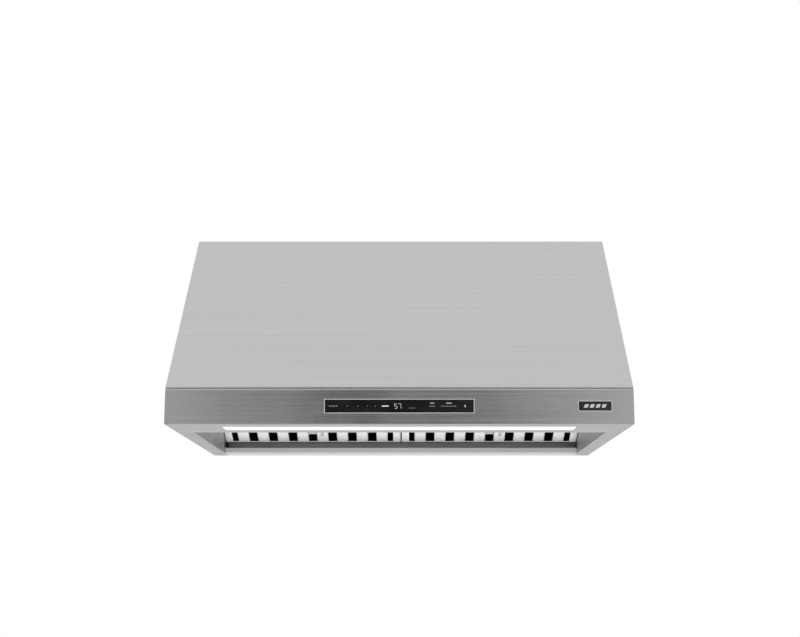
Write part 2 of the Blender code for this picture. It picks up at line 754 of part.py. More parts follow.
def make_clips(name, half, end):
    """Two bent springs on the outside of the frame's low end wall, which hold the filter shut."""
    made = []
    for label, place in (("outer", -half + CLIP_INSET), ("inner", half - CLIP_INSET)):
        top = FILTER_THICK / 2 - FILTER_WALL
        path = [
            (end + GAP, -top / 2),
            (end + GAP, top),
            (end + CLIP_BELLY, top - CLIP_BELLY),
            (end + 2 * CLIP_SHEET, top / 3),
        ]
        clip = folded(f"{name}_{label}_clip", path, place - CLIP_WIDTH / 2, place + CLIP_WIDTH / 2,
                      -CLIP_SHEET)
        finish(clip, (0.55, 0.55, 0.57), 0.25)
        made.append(clip)
    return made


# ---- blower ----

def scroll_outline(shrink):
    """The spiral wall and its outlet neck, in (y, z) about the wheel's centre."""
    points = []
    for index in range(SCROLL_STEPS + 1):
        share = index / SCROLL_STEPS
        angle = math.radians(SCROLL_FIRST - SCROLL_TURN * share)
        radius = SCROLL_START + SCROLL_GROWTH * share - shrink
        points.append((radius * math.cos(angle), radius * math.sin(angle)))
    top = PLENUM_BOTTOM - blower.z + PLENUM_SHEET + INSET * 2 + shrink
    far = points[-1]
    near_y = points[0][0]
    outlet_y = far[0]
    points += [(outlet_y, top), (near_y, top)]
    return points


def make_scroll(name, side):
    """One scroll housing: a spiral case with round inlets in its sides and an outlet on top."""
    centre_x = side * WHEEL_X
    half = SCROLL_WIDTH / 2
    outer = [(blower.y + y, blower.z + z) for y, z in scroll_outline(0)]
    inner = [(blower.y + y, blower.z + z) for y, z in scroll_outline(SCROLL_SHEET)]
    case = side_outline(name + "_blower_scroll", outer, centre_x - half, centre_x + half)
    hollow = side_outline(name + "_scroll_hollow", inner, centre_x - half + SCROLL_SHEET,
                          centre_x + half - SCROLL_SHEET, CUTTERS)
    cut(case, hollow)
    inlets = cylinder(name + "_scroll_inlets", INLET_RADIUS + SCROLL_SHEET + GAP, 2 * SCROLL_WIDTH, "X",
                      (centre_x, blower.y, blower.z), BIG_ROUND, CUTTERS)
    cut(case, inlets)
    finish(case, ZINC, 0.4)


def make_inlet_rings(name, side):
    """A rolled ring in the outer inlet that leads the air into the wheel."""
    face = side * (WHEEL_X + SCROLL_WIDTH / 2)
    lip = INLET_RADIUS + INLET_LIP
    profile = [
        (INLET_RADIUS + SCROLL_SHEET, -SCROLL_SHEET),
        (INLET_RADIUS + SCROLL_SHEET, GAP),
        (lip, GAP),
        (lip, GAP + SCROLL_SHEET),
        (INLET_RADIUS, GAP + SCROLL_SHEET),
        (INLET_RADIUS, -SCROLL_SHEET),
    ]
    ring = turned(name + "_inlet_ring", profile[::-1], (face, blower.y, blower.z), "X", BIG_ROUND)
    if side < 0:
        ring.rotation_euler.y += math.pi
    smooth(ring)
    finish(ring, ZINC, 0.35)


def make_wheel(name, side):
    """A squirrel cage wheel: a ring of blades between two rims, on a disc with a hub."""
    centre = Vector((side * WHEEL_X, blower.y, blower.z))
    half = WHEEL_WIDTH / 2
    hub_bore = SHAFT_RADIUS + GAP
    disc = SCROLL_SHEET
    inner = WHEEL_RADIUS - WHEEL_SHELL
    profile = [
        (WHEEL_RADIUS, half), (WHEEL_RADIUS, -half), (inner, -half), (inner, -disc),
        (HUB_RADIUS, -disc), (HUB_RADIUS, -half / 3), (hub_bore, -half / 3), (hub_bore, half / 3),
        (HUB_RADIUS, half / 3), (HUB_RADIUS, disc), (inner, disc), (inner, half),
    ]
    wheel = turned(name + "_blower_wheel", profile, centre, "X", 2 * WHEEL_BLADES)
    bm = bmesh.new()
    for index in range(WHEEL_BLADES):
        turn = Matrix.Rotation(2 * math.pi * index / WHEEL_BLADES, 4, "X")
        for place in (-1, 1):
            depth = half - 2 * disc - WHEEL_RIM
            shape = Matrix.Diagonal((depth, BLADE_GAP, 3 * WHEEL_SHELL, 1))
            middle = place * (2 * disc + depth / 2)
            place_at = turn @ Matrix.Translation((middle, 0, WHEEL_RADIUS - WHEEL_SHELL / 2))
            bmesh.ops.create_cube(bm, size=1, matrix=place_at @ shape)
    gaps = add_mesh(name + "_blade_gaps", bm, centre, CUTTERS)
    cut(wheel, gaps)
    finish(wheel, ZINC, 0.4)


def make_motor():
    """The double ended motor, its shaft, and the band that holds it to the rails."""
    half = MOTOR_LENGTH / 2
    bore = SHAFT_RADIUS + GAP
    straight = MOTOR_BARREL / 2
    profile = [
        (MOTOR_RADIUS, straight), (MOTOR_RADIUS, -straight), (MOTOR_SHOULDER, -half), (bore, -half),
        (bore, half), (MOTOR_SHOULDER, half),
    ]
    motor = turned("blower_motor", profile, blower, "X", ROUND)
    smooth(motor)
    finish(motor, (0.08, 0.08, 0.085), 0.45)
    shaft_length = 2 * (WHEEL_X + WHEEL_WIDTH / 6 + SHAFT_RADIUS)
    shaft = cylinder("motor_shaft", SHAFT_RADIUS, shaft_length, "X", blower, 20)
    finish(shaft, (0.6, 0.6, 0.6), 0.2)


def make_motor_band():
    """A strap round the motor with an upright at the back that screws to the back panel."""
    inner = MOTOR_RADIUS + GAP
    outer = inner + SHEET
    half = BAND_WIDTH / 2
    band = turned("motor_bracket", [(outer, half), (outer, -half), (inner, -half), (inner, half)],
                  blower, "X", ROUND)
    plate = box("bracket_plate", (-half, blower.y + inner + SHEET / 2, blower.z - SHEET),
                (half, BACK - INSET - GAP, blower.z + SHEET), CUTTERS)
    foot = box("bracket_foot", (-half, BACK - INSET - GAP - SHEET, blower.z - MOTOR_RADIUS),
               (half, BACK - INSET - GAP, blower.z + MOTOR_RADIUS), CUTTERS)
    join(band, plate)
    join(band, foot)
    finish(band, ZINC, 0.4)


def make_capacitor():
    """The motor's run capacitor, standing in front of the motor."""
    place = (0, blower.y - MOTOR_RADIUS - CAPACITOR_RADIUS - 6 * SHEET, blower.z)
    capacitor = cylinder("run_capacitor", CAPACITOR_RADIUS, CAPACITOR_LENGTH, "X", place, 28)
    bevel(capacitor, SOFT_EDGE, 2)
    finish(capacitor, (0.75, 0.75, 0.76), 0.3)


# ---- plenum, collar and damper ----

def make_plenum():
    """The box that gathers both outlets and leads them into the round collar."""
    low = Vector((-PLENUM_HALF, PLENUM_FRONT, PLENUM_BOTTOM))
    high = Vector((PLENUM_HALF, PLENUM_BACK, PLENUM_TOP))
    wall = Vector((PLENUM_SHEET,) * 3)
    plenum = box("outlet_plenum", low, high)
    cut(plenum, box("plenum_hollow", low + wall, high - wall, CUTTERS))
    neck = scroll_outline(0)
    y_span = sorted((neck[-1][0], neck[-2][0]))
    for name, side in SIDES:
        centre_x = side * WHEEL_X
        half = SCROLL_WIDTH / 2 + GAP
        hole = box(name + "_plenum_inlet",
                   (centre_x - half, blower.y + y_span[0] - GAP, PLENUM_BOTTOM - PLENUM_SHEET),
                   (centre_x + half, blower.y + y_span[1] + GAP, PLENUM_BOTTOM + 2 * PLENUM_SHEET), CUTTERS)
        cut(plenum, hole)
    outlet = cylinder("plenum_outlet", COLLAR_RADIUS - PLENUM_SHEET, 6 * PLENUM_SHEET, "Z",
                      (0, collar.y, PLENUM_TOP), BIG_ROUND, CUTTERS)
    cut(plenum, outlet)
    finish(plenum, ZINC, 0.4)


def make_collar():
    """The round collar for the duct, flanged under the top panel, with a rest for the flaps."""
    top = HEIGHT + COLLAR_RISE
    base = PLENUM_TOP + GAP
    flange_top = base + PLENUM_SHEET
    inner = COLLAR_RADIUS - SHEET
    rest = inner - FLAP_REST
    rest_top = DAMPER_HEIGHT - FLAP_THICK / 2 - GAP
    profile = [
        (COLLAR_RADIUS, top), (COLLAR_RADIUS, flange_top), (COLLAR_RADIUS + COLLAR_FLANGE, flange_top),
        (COLLAR_RADIUS + COLLAR_FLANGE, base), (inner - SHEET, base), (inner - SHEET, rest_top - SHEET),
        (rest, rest_top - SHEET), (rest, rest_top), (inner, rest_top), (inner, top),
    ]
    ring = turned("duct_collar", profile, (0, collar.y, 0), sides=BIG_ROUND)
    smooth(ring)
    hole = cylinder("damper_rod_hole", DAMPER_ROD_RADIUS + GAP, 3 * COLLAR_RADIUS, "X",
                    (0, collar.y, DAMPER_HEIGHT), 16, CUTTERS)
    cut(ring, hole)
    finish(ring, ZINC, 0.35)


def make_damper():
    """Two half round flaps that lift in the airflow, on one rod across the collar."""
    rod = cylinder("damper_rod", DAMPER_ROD_RADIUS, 2 * COLLAR_RADIUS, "X",
                   (0, collar.y, DAMPER_HEIGHT), 16)
    finish(rod, ZINC, 0.3)
    radius = COLLAR_RADIUS - SHEET - FLAP_CLEARANCE
    for name, side, shift in (("front", -1, 0), ("rear", 1, 1)):
        edge = DAMPER_ROD_RADIUS + 3 * GAP
        start = math.asin(edge / radius)
        arc = [start + (math.pi - 2 * start) * index / 24 for index in range(25)]
        outline = [(radius * math.cos(a), side * radius * math.sin(a)) for a in arc]
        flap = flat_outline(f"damper_flap_{name}", [outline], FLAP_THICK)
        flap.location = (0, collar.y, DAMPER_HEIGHT)
        for index in range(2):
            place = (index - 0.5) * COLLAR_RADIUS + (shift - 0.5) * 2 * BARREL_LENGTH
            barrel = cylinder(f"{name}_barrel_{index}", BARREL_RADIUS, BARREL_LENGTH, "X",
                              (place, collar.y, DAMPER_HEIGHT), 20, CUTTERS)
            join(flap, barrel)
            notch_place = (index - 0.5) * COLLAR_RADIUS + (0.5 - shift) * 2 * BARREL_LENGTH
            notch_half = BARREL_LENGTH / 2 + 2 * GAP
            reach = BARREL_RADIUS + 2 * GAP
            notch = box(f"{name}_notch_{index}",
                        (notch_place - notch_half, collar.y - reach, DAMPER_HEIGHT - reach),
                        (notch_place + notch_half, collar.y + reach, DAMPER_HEIGHT + reach), CUTTERS)
            cut(flap, notch)
        bore = cylinder(name + "_flap_bore", DAMPER_ROD_RADIUS + GAP, 2 * COLLAR_RADIUS, "X",
                        (0, collar.y, DAMPER_HEIGHT), 16, CUTTERS)
        cut(flap, bore)
        finish(flap, ZINC, 0.35)


# ---- controls and badge ----

def make_controls():
    """The touch glass in its bezel, and the board behind it."""
    half, rise = GLASS_WIDTH / 2, GLASS_HEIGHT / 2
    outer = [(-half - BEZEL_WIDTH, -rise - BEZEL_WIDTH), (half + BEZEL_WIDTH, -rise - BEZEL_WIDTH),
             (half + BEZEL_WIDTH, rise + BEZEL_WIDTH), (-half - BEZEL_WIDTH, rise + BEZEL_WIDTH)]
    hole = [(-half, -rise), (half, -rise), (half, rise), (-half, rise)]
    depth = GLASS_THICK + BEZEL_PROUD
    bezel = flat_outline("control_bezel", [outer, hole], depth)
    bezel.rotation_euler = (math.pi / 2, 0, 0)
    bezel.location = (0, FRONT - BEZEL_PROUD + depth / 2, GLASS_CENTRE_HEIGHT)
    finish(bezel, (0.7, 0.7, 0.7), 0.25)
    glass = box("control_glass", (-half + GAP, FRONT - BEZEL_PROUD / 2, GLASS_CENTRE_HEIGHT - rise + GAP),
                (half - GAP, FRONT + GLASS_THICK, GLASS_CENTRE_HEIGHT + rise - GAP))
    finish(glass, BLACK, 0.08, 0)
    board_front = FRONT + GLASS_THICK + GAP
    board = box("control_board", (-half + BOARD_MARGIN, board_front, GLASS_CENTRE_HEIGHT - rise),
                (half - BOARD_MARGIN, board_front + BOARD_THICK, GLASS_CENTRE_HEIGHT + rise))
    finish(board, (0.02, 0.16, 0.06), 0.5, 0)


def make_badge():
    """The small plate near the fascia's right end."""
    centre = WIDTH / 2 - BADGE_FROM_SIDE
    half, rise = BADGE_WIDTH / 2, BADGE_HEIGHT / 2
    badge = box("badge_plate", (centre - half, FRONT - GAP - BADGE_THICK, GLASS_CENTRE_HEIGHT - rise),
                (centre + half, FRONT - GAP, GLASS_CENTRE_HEIGHT + rise))
    bevel(badge, HARD_EDGE)
    finish(badge, BLACK, 0.3, 0)


# ---- wiring ----

def make_junction_box():
    """The box for the mains wires in the rear corner, with a lid and a terminal block."""
    right = WIDTH / 2 - INSET - SIDE_FLANGE
    rear = BACK - INSET - GAP
    top = HEIGHT - INSET - COLLAR_FLANGE
    low = Vector((right - BOX_WIDTH, rear - BOX_DEPTH, top - BOX_HEIGHT))
    high = Vector((right, rear, top))
    wall = SHEET
    case = box("junction_box", low, high)
    hollow = box("junction_hollow", low + Vector((wall, -wall, wall)), high - Vector((wall,) * 3), CUTTERS)
    cut(case, hollow)
    finish(case, ZINC, 0.45)
    cover = box("junction_cover", (low.x, low.y - GAP - wall, low.z), (high.x, low.y - GAP, high.z))
    finish(cover, ZINC, 0.4)
    block_back = high.y - wall - GAP
    block_low = low.z + TERMINAL_RISE
    block = box("terminal_block", (low.x + TERMINAL_INSET, block_back - TERMINAL_DEPTH, block_low),
                (high.x - TERMINAL_INSET, block_back, block_low + TERMINAL_HEIGHT))
    bevel(block, SOFT_EDGE)
    finish(block, (0.8, 0.8, 0.78), 0.5, 0)


make_slope_panel()
make_fascia()
make_side_panels()
make_back_panel()
make_top_panel()
make_liners()
make_light_panel()
make_light()
make_rear_rail()
make_trough()
make_hinge_rod()
for side_name, side_sign in SIDES:
    make_filter(side_name, side_sign)
    make_scroll(side_name, side_sign)
    make_inlet_rings(side_name, side_sign)
    make_wheel(side_name, side_sign)
make_motor()
make_motor_band()
make_capacitor()
make_plenum()
make_collar()
make_damper()
make_controls()
make_badge()
make_junction_box()
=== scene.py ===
# %% [markdown]
# # An under cabinet range hood
#
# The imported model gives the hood's frame: every panel, filter, wheel and flap at its real size
# and place, each riding on a body that the hinges turn. This lesson puts the looks on it. Folded
# panels get real bend radii, the baffles get rolled edges, the blower gets its blades, and each
# surface gets a finish with grain and wear worked out by shader nodes.

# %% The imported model
import json
import math

import bpy
import numpy as np
from mathutils import Matrix, Vector


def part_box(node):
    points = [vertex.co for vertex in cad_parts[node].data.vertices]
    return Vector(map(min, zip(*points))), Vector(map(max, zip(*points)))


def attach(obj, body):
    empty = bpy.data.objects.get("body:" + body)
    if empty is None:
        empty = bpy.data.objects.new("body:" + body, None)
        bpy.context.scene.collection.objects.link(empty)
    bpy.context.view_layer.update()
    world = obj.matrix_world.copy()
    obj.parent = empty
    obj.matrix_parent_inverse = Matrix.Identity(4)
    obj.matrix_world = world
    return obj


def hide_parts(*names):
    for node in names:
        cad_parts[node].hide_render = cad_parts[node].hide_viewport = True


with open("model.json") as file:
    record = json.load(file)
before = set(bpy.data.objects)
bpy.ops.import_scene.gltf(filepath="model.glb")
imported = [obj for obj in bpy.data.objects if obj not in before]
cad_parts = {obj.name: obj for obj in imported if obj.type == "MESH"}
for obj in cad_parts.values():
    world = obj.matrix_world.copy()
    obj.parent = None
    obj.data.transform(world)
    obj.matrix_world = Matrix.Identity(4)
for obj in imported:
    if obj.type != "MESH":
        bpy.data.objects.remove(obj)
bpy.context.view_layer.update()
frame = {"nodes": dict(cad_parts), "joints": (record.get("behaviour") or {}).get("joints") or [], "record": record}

record_slot = {part["node"]: part["material_slot"] for part in frame["record"]["subparts"]}
joint_place = {joint["name"]: joint["pos_m"] for joint in frame["joints"]}

# %% [markdown]
# ## Measures
#
# The panels' places are read from the frame, so that nothing here has to be fitted by hand. Only
# the sizes that the frame can't give, such as the sheet's thickness and how tightly it is bent,
# are named values.

# %% Places read from the frame
SHEET = 0.0012
GAP = 0.0003
BEND = 0.0028
EDGE = 0.0002
LIGHT_PANEL_DEPTH = 0.146


def corners(node):
    """A node's lowest and highest corners as two arrays."""
    low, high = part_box(node)
    return np.array(low), np.array(high)


slope_low, slope_high = corners("front_slope_panel")
fascia_low, fascia_high = corners("front_fascia")
lens_low, lens_high = corners("light_lens")
panel_low, panel_high = corners("light_panel")
rail_low, rail_high = corners("rear_rail")
glass_low, glass_high = corners("control_glass")
top_low, top_high = corners("top_panel")
front = slope_low[1]
half_width = slope_high[0]
inner = corners("right_side_panel")[0][0]
print("front at", round(front, 4), "inner walls at", round(inner, 4))

# %% [markdown]
# ## Shapes as arrays
#
# A folded panel is a surface of two parameters: how far along the fold line, and how far along
# the folded section. The section is a short list of corners, and each corner is swapped for an
# arc. Round pieces are rings stacked one after the other. Both kinds are worked out as whole
# arrays, and the mesh takes them in one go.

# %% Sections with rounded corners


def rounded(path, radius, steps=5):
    """Swaps each corner of a path for an arc: its ends lie radius / tan(half angle) from the corner,
    and its centre lies on the bisector, radius / sin(half angle) from the corner."""
    path = np.asarray(path, float)
    pieces = [path[:1]]
    for before, corner, after in zip(path[:-2], path[1:-1], path[2:]):
        back = (before - corner) / np.linalg.norm(before - corner)
        ahead = (after - corner) / np.linalg.norm(after - corner)
        half = math.acos(np.clip(back @ ahead, -1, 1)) / 2
        reach = radius / math.tan(half)
        bisector = (back + ahead) / np.linalg.norm(back + ahead)
        centre = corner + bisector * radius / math.sin(half)
        start = corner + back * reach - centre
        end = corner + ahead * reach - centre
        span = math.pi - 2 * half
        share = np.linspace(0, 1, steps + 1)[:, None]
        arc = (np.sin((1 - share) * span) * start + np.sin(share * span) * end) / math.sin(span)
        pieces.append(centre + arc)
    pieces.append(path[-1:])
    return np.concatenate(pieces)


def grid_faces(rows, columns, wrap_rows=False, wrap_columns=False):
    """The four corners of each cell of a grid, row by row."""
    row = np.arange(rows if wrap_rows else rows - 1)[:, None]
    column = np.arange(columns if wrap_columns else columns - 1)[None, :]
    right, down = (column + 1) % columns, (row + 1) % rows
    here, below = row * columns, down * columns
    cells = [here + column, here + right, below + right, below + column]
    return np.stack(np.broadcast_arrays(*cells), axis=-1).reshape(-1, 4)


def rings(layers, closed=False):
    """Stacks rings of points into a skin. Its ends are capped, or it closes on itself as a hoop."""
    layers = np.asarray(layers, float)
    count, around = layers.shape[:2]
    faces = grid_faces(count, around, wrap_rows=closed, wrap_columns=True).tolist()
    if not closed:
        faces.append(list(range(around))[::-1])
        faces.append(list(range((count - 1) * around, count * around)))
    return layers.reshape(-1, 3), faces


def turned(profile, around=32, axis="X", closed=False):
    """Turns (radius, height) points about X, as x = h, y = r cos a, z = r sin a, or likewise about Z."""
    radius, height = np.asarray(profile, float).T
    angle = np.linspace(0, 2 * math.pi, around, endpoint=False)
    flat = [radius[:, None] * np.cos(angle), radius[:, None] * np.sin(angle)]
    rise = np.broadcast_to(height[:, None], flat[0].shape)
    return rings(np.stack([rise, *flat] if axis == "X" else [*flat, rise], axis=-1), closed)


def moved(shape, matrix):
    """Carries a shape's points through a matrix."""
    points, faces = shape
    turn = np.array(matrix.to_3x3())
    return points @ turn.T + np.array(matrix.translation), faces


def together(shapes):
    """Several shapes as one list of points and one list of faces."""
    points, faces, start = [], [], 0
    for some_points, some_faces in shapes:
        points.append(some_points)
        faces += [[index + start for index in face] for face in some_faces]
        start += len(some_points)
    return np.concatenate(points), faces


# %% [markdown]
# ## Turning arrays into pieces
#
# A piece is a mesh with a finish, a body to ride on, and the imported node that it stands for. A
# surface that has only one side yet is turned to face the right way and thickened by Solidify.

# %% Pieces
made = []


def piece(name, shape, finish, body, stands_for=(), crease=35, outward=None):
    """Makes a mesh object whose faces point out: by its volume when it is closed, and by
    the direction given when it is an open sheet."""
    points, faces = shape
    mesh = bpy.data.meshes.new(name)
    mesh.from_pydata(points.tolist(), [], faces)
    mesh.update()
    normals = np.array([face.normal * face.area for face in mesh.polygons])
    middles = np.array([face.center for face in mesh.polygons])
    towards = middles - points.mean(axis=0) if outward is None else np.asarray(outward, float)
    if (normals * towards).sum() < 0:
        mesh.flip_normals()
    mesh.shade_smooth()
    mesh.set_sharp_from_angle(angle=math.radians(crease))
    obj = bpy.data.objects.new(name, mesh)
    bpy.context.scene.collection.objects.link(obj)
    mesh.materials.append(finish)
    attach(obj, body)
    stands_for = [stands_for] if isinstance(stands_for, str) else list(stands_for)
    if stands_for:
        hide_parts(*stands_for)
    made.append(name)
    return obj


def soften(obj, width=EDGE):
    """Breaks the sharp edges, and keeps the flat faces' shading flat."""
    edge = obj.modifiers.new("edge", "BEVEL")
    edge.width = width
    edge.limit_method = "ANGLE"
    edge.angle_limit = math.radians(35)
    edge.harden_normals = True
    return obj


def thicken(obj, thickness=SHEET):
    """Gives a one sided sheet its thickness, behind the side that faces out."""
    solid = obj.modifiers.new("sheet", "SOLIDIFY")
    solid.thickness = thickness
    solid.offset = -1
    solid.use_even_offset = True
    return soften(obj)


def kept(points, faces, wanted):
    """Keeps the cells whose middles pass a test, and the points that they use."""
    faces = faces[wanted(points[faces].mean(axis=1))]
    used, index = np.unique(faces, return_inverse=True)
    return points[used], index.reshape(-1, 4).tolist()


def folded_sheet(section, stations, window=None):
    """A (y, z) section carried along X, as a grid, less the cells inside a window's corners."""
    section = np.asarray(section, float)
    x, index = np.meshgrid(np.asarray(stations, float), np.arange(len(section)), indexing="ij")
    points = np.stack([x, section[index, 0], section[index, 1]], axis=-1).reshape(-1, 3)
    faces = grid_faces(len(stations), len(section))
    if window is None:
        return points, faces.tolist()
    low, high = window
    return kept(points, faces, lambda m: ~np.all((m > low) & (m < high), axis=1))


print("helpers ready")

# %% [markdown]
# ## Shader sums in Python
#
# A finish is arithmetic on patterns: a streak here, a smudge there, more roughness where it has
# been wiped. The small class below lets that arithmetic be written as Python expressions. Each
# operator adds one Math node, and any other node comes from one method.

# %% A socket that can be added and multiplied


class Wire:
    """A shader socket that Python's operators work on."""

    def __init__(self, tree, socket):
        self.tree = tree
        self.socket = socket

    def math(self, operation, *values):
        return node(self.tree, "Math", {"operation": operation}, (self, *values))

    def __add__(self, other):
        return self.math("ADD", other)

    def __sub__(self, other):
        return self.math("SUBTRACT", other)

    def __mul__(self, other):
        return self.math("MULTIPLY", other)


def node(tree, kind, settings=None, values=(), out=0):
    """Adds a shader node: its settings first, then its sockets by place or by name."""
    made_node = tree.nodes.new("ShaderNode" + kind)
    for key, value in (settings or {}).items():
        setattr(made_node, key, value)
    pairs = values.items() if isinstance(values, dict) else enumerate(values)
    for key, value in pairs:
        if isinstance(value, Wire):
            tree.links.new(value.socket, made_node.inputs[key])
        else:
            made_node.inputs[key].default_value = value
    return Wire(tree, made_node.outputs[out])


class Finish:
    """A new material, with its Principled shader and the object's own coordinates."""

    def __init__(self, name):
        self.material = bpy.data.materials.new(name)
        self.material.use_nodes = True
        self.tree = self.material.node_tree
        self.shader = self.tree.nodes["Principled BSDF"]
        self.place = node(self.tree, "TexCoord", out=3)

    def make(self, kind, settings=None, values=(), out=0):
        return node(self.tree, kind, settings, values, out)

    def noise(self, scale, detail=3.0, roughness=0.55):
        """A noise with one scale for all axes, or one for each: larger is finer."""
        scales = scale if isinstance(scale, tuple) else (scale, scale, scale)
        stretched = self.make("Mapping", None, {"Vector": self.place, "Scale": scales})
        return self.make("TexNoise", None, {"Vector": stretched, "Scale": 1.0, "Detail": detail,
                                            "Roughness": roughness})

    def blend(self, factor, first, second):
        """Mixes two colours by a factor."""
        values = {0: factor, 6: (*first, 1), 7: (*second, 1)}
        return self.make("Mix", {"data_type": "RGBA"}, values, out=2)

    def set(self, **values):
        names = {"colour": "Base Color", "coat": "Coat Weight", "coat_roughness": "Coat Roughness",
                 "glow": "Emission Color", "glow_strength": "Emission Strength", "ior": "IOR"}
        for key, value in values.items():
            socket = self.shader.inputs[names.get(key, key.capitalize())]
            if isinstance(value, Wire):
                self.tree.links.new(value.socket, socket)
            else:
                socket.default_value = (*value, 1) if isinstance(value, tuple) else value
        return self

    def bump(self, height, strength, distance=0.0005):
        """Lets a height raise the surface's shading."""
        return self.set(normal=self.make("Bump", None, {"Height": height, "Strength": strength,
                                                        "Distance": distance}))


print("shader helper ready")

# %% [markdown]
# ## Brushed stainless steel
#
# Appliance panels are brushed with an abrasive belt before they are folded, so each scratch runs
# the whole length of the sheet. One way is an anisotropic shader, but it gives no visible lines.
# Here a noise is squeezed hard across the grain and drawn out along it. It drives three things
# together: slightly lighter and darker lines, roughness, and a very shallow bump. A second, wide
# noise adds the faint cloudiness that wiping leaves.

# %% Steel finishes
ALONG, ACROSS = 2.5, 900.0


def brushed(name, dark, light, roughness, grain="X", streak=1.0, metallic=1.0):
    """Steel with its scratches drawn out along X or along Y."""
    finish = Finish(name)
    scales = (ALONG, ACROSS, ACROSS) if grain == "X" else (ACROSS, ALONG, ACROSS)
    fine = finish.noise(scales, detail=4.0, roughness=0.7)
    broad = finish.noise(tuple(value * 0.35 for value in scales), detail=2.0)
    cloud = finish.noise(5.0, detail=2.0)
    lines = fine * 0.7 + broad * 0.3
    tone = finish.make("MapRange", None, {"Value": lines, "From Min": 0.36, "From Max": 0.64})
    smudge = finish.make("MapRange", None, {"Value": cloud, "From Min": 0.35, "From Max": 0.7})
    finish.set(colour=finish.blend(tone, dark, light), metallic=metallic)
    finish.set(roughness=tone * (0.10 * streak) + smudge * 0.05 + roughness)
    finish.bump(lines, 0.10 * streak, 0.0004)
    return finish.material


shell_steel = brushed("shell_steel", (0.585, 0.585, 0.59), (0.66, 0.66, 0.665), 0.23, streak=0.5)
side_steel = brushed("side_steel", (0.585, 0.585, 0.59), (0.66, 0.66, 0.665), 0.27, grain="Y", streak=0.5)
inner_steel = brushed("inner_steel", (0.50, 0.50, 0.505), (0.60, 0.60, 0.605), 0.38, grain="Y")
trough_steel = brushed("trough_steel", (0.58, 0.58, 0.585), (0.68, 0.68, 0.685), 0.45)
rail_steel = brushed("rail_steel", (0.66, 0.66, 0.665), (0.76, 0.76, 0.765), 0.42,
                     streak=0.5, metallic=0.7)
filter_steel = brushed("filter_steel", (0.80, 0.80, 0.805), (0.90, 0.90, 0.905), 0.34,
                       grain="Y", streak=0.4, metallic=0.5)
# Painted shade: near black steel that stands in for the shade on the caps seen through the slots, on the crest
# walls and inside the channel.
shade_painted_steel = brushed("shade_painted_steel", (0.030, 0.030, 0.031), (0.055, 0.055, 0.056), 0.42,
                    grain="Y", streak=0.4)
print("steel finishes made")

# %% [markdown]
# ## Zinc, paint, plastic and glass
#
# Galvanised sheet freezes into flat crystals, each a slightly different grey: a cell pattern gives
# that spangle. Painted and moulded pieces have no grain but are never quite smooth, so they get a
# fine orange peel. Glass is nearly black, with a faint film where fingers land.

# %% Other finishes


def galvanised(name, dark, light):
    """Zinc coated sheet: each crystal has a grey and a gloss of its own."""
    finish = Finish(name)
    crystals = finish.make("TexVoronoi", None, {"Vector": finish.place, "Scale": 90.0}, out=1)
    grey = finish.make("SeparateColor", None, {0: crystals})
    stain = finish.noise(14.0, detail=4.0)
    tone = grey * 0.6 + stain * 0.4
    finish.set(colour=finish.blend(tone, dark, light), metallic=1.0)
    finish.set(roughness=grey * 0.16 + stain * 0.1 + 0.30)
    finish.bump(grey, 0.04)
    return finish.material


def moulded(name, dark, light, roughness, strength=0.08):
    """Paint or plastic with a fine peel and a slow change of tone."""
    finish = Finish(name)
    tone = finish.noise(30.0)
    grain = finish.noise(900.0, detail=2.0)
    finish.set(colour=finish.blend(tone, dark, light), roughness=tone * 0.12 + roughness)
    finish.bump(grain, strength, 0.0003)
    return finish.material


def polished(name, dark, light, roughness):
    """A bright turned or plated metal with faint wear."""
    finish = Finish(name)
    wear = finish.noise(160.0)
    finish.set(colour=finish.blend(wear, dark, light), metallic=1.0, roughness=wear * 0.12 + roughness)
    finish.bump(wear, 0.03)
    return finish.material


def touch_glass(name):
    """Near black glass with a thin greasy film in places."""
    finish = Finish(name)
    film = finish.noise((26.0, 26.0, 60.0), detail=4.0)
    finish.set(colour=finish.blend(film, (0.008, 0.008, 0.009), (0.016, 0.016, 0.017)))
    finish.set(roughness=film * 0.16 + 0.07, ior=1.5, coat=0.6, coat_roughness=0.05)
    finish.bump(film, 0.01)
    return finish.material


def glowing(name, colour, strength, patch=8.0):
    """A lit diffuser or a lit mark, a little uneven from spot to spot."""
    finish = Finish(name)
    uneven = finish.noise(patch, detail=1.0)
    low = tuple(value * 0.93 for value in colour)
    lit = finish.blend(uneven, low, colour)
    finish.set(colour=lit, roughness=uneven * 0.1 + 0.35, glow=lit, glow_strength=strength)
    return finish.material


POLISHED = {"knob_chrome": ((0.70, 0.70, 0.70), (0.82, 0.82, 0.82), 0.12),
            "spring_steel": ((0.42, 0.42, 0.44), (0.56, 0.56, 0.58), 0.22),
            "shaft_steel": ((0.50, 0.50, 0.50), (0.66, 0.66, 0.66), 0.16),
            "bezel_chrome": ((0.88, 0.88, 0.88), (0.96, 0.96, 0.96), 0.42),
            "capacitor_can": ((0.60, 0.60, 0.61), (0.74, 0.74, 0.75), 0.25)}
MOULDED = {"motor_black": ((0.020, 0.020, 0.022), (0.045, 0.045, 0.048), 0.42),
           "circuit_board": ((0.008, 0.08, 0.03), (0.02, 0.16, 0.06), 0.4),
           "led_strip_white": ((0.74, 0.74, 0.70), (0.86, 0.86, 0.83), 0.5),
           "white_enamel": ((0.74, 0.74, 0.73), (0.84, 0.84, 0.83), 0.35),
           "driver_case": ((0.52, 0.53, 0.54), (0.64, 0.65, 0.66), 0.5),
           "terminal_plastic": ((0.66, 0.65, 0.60), (0.78, 0.77, 0.72), 0.5),
           "badge_black": ((0.006, 0.006, 0.007), (0.014, 0.014, 0.015), 0.22)}
zinc = galvanised("zinc_plated", (0.40, 0.42, 0.44), (0.62, 0.64, 0.66))
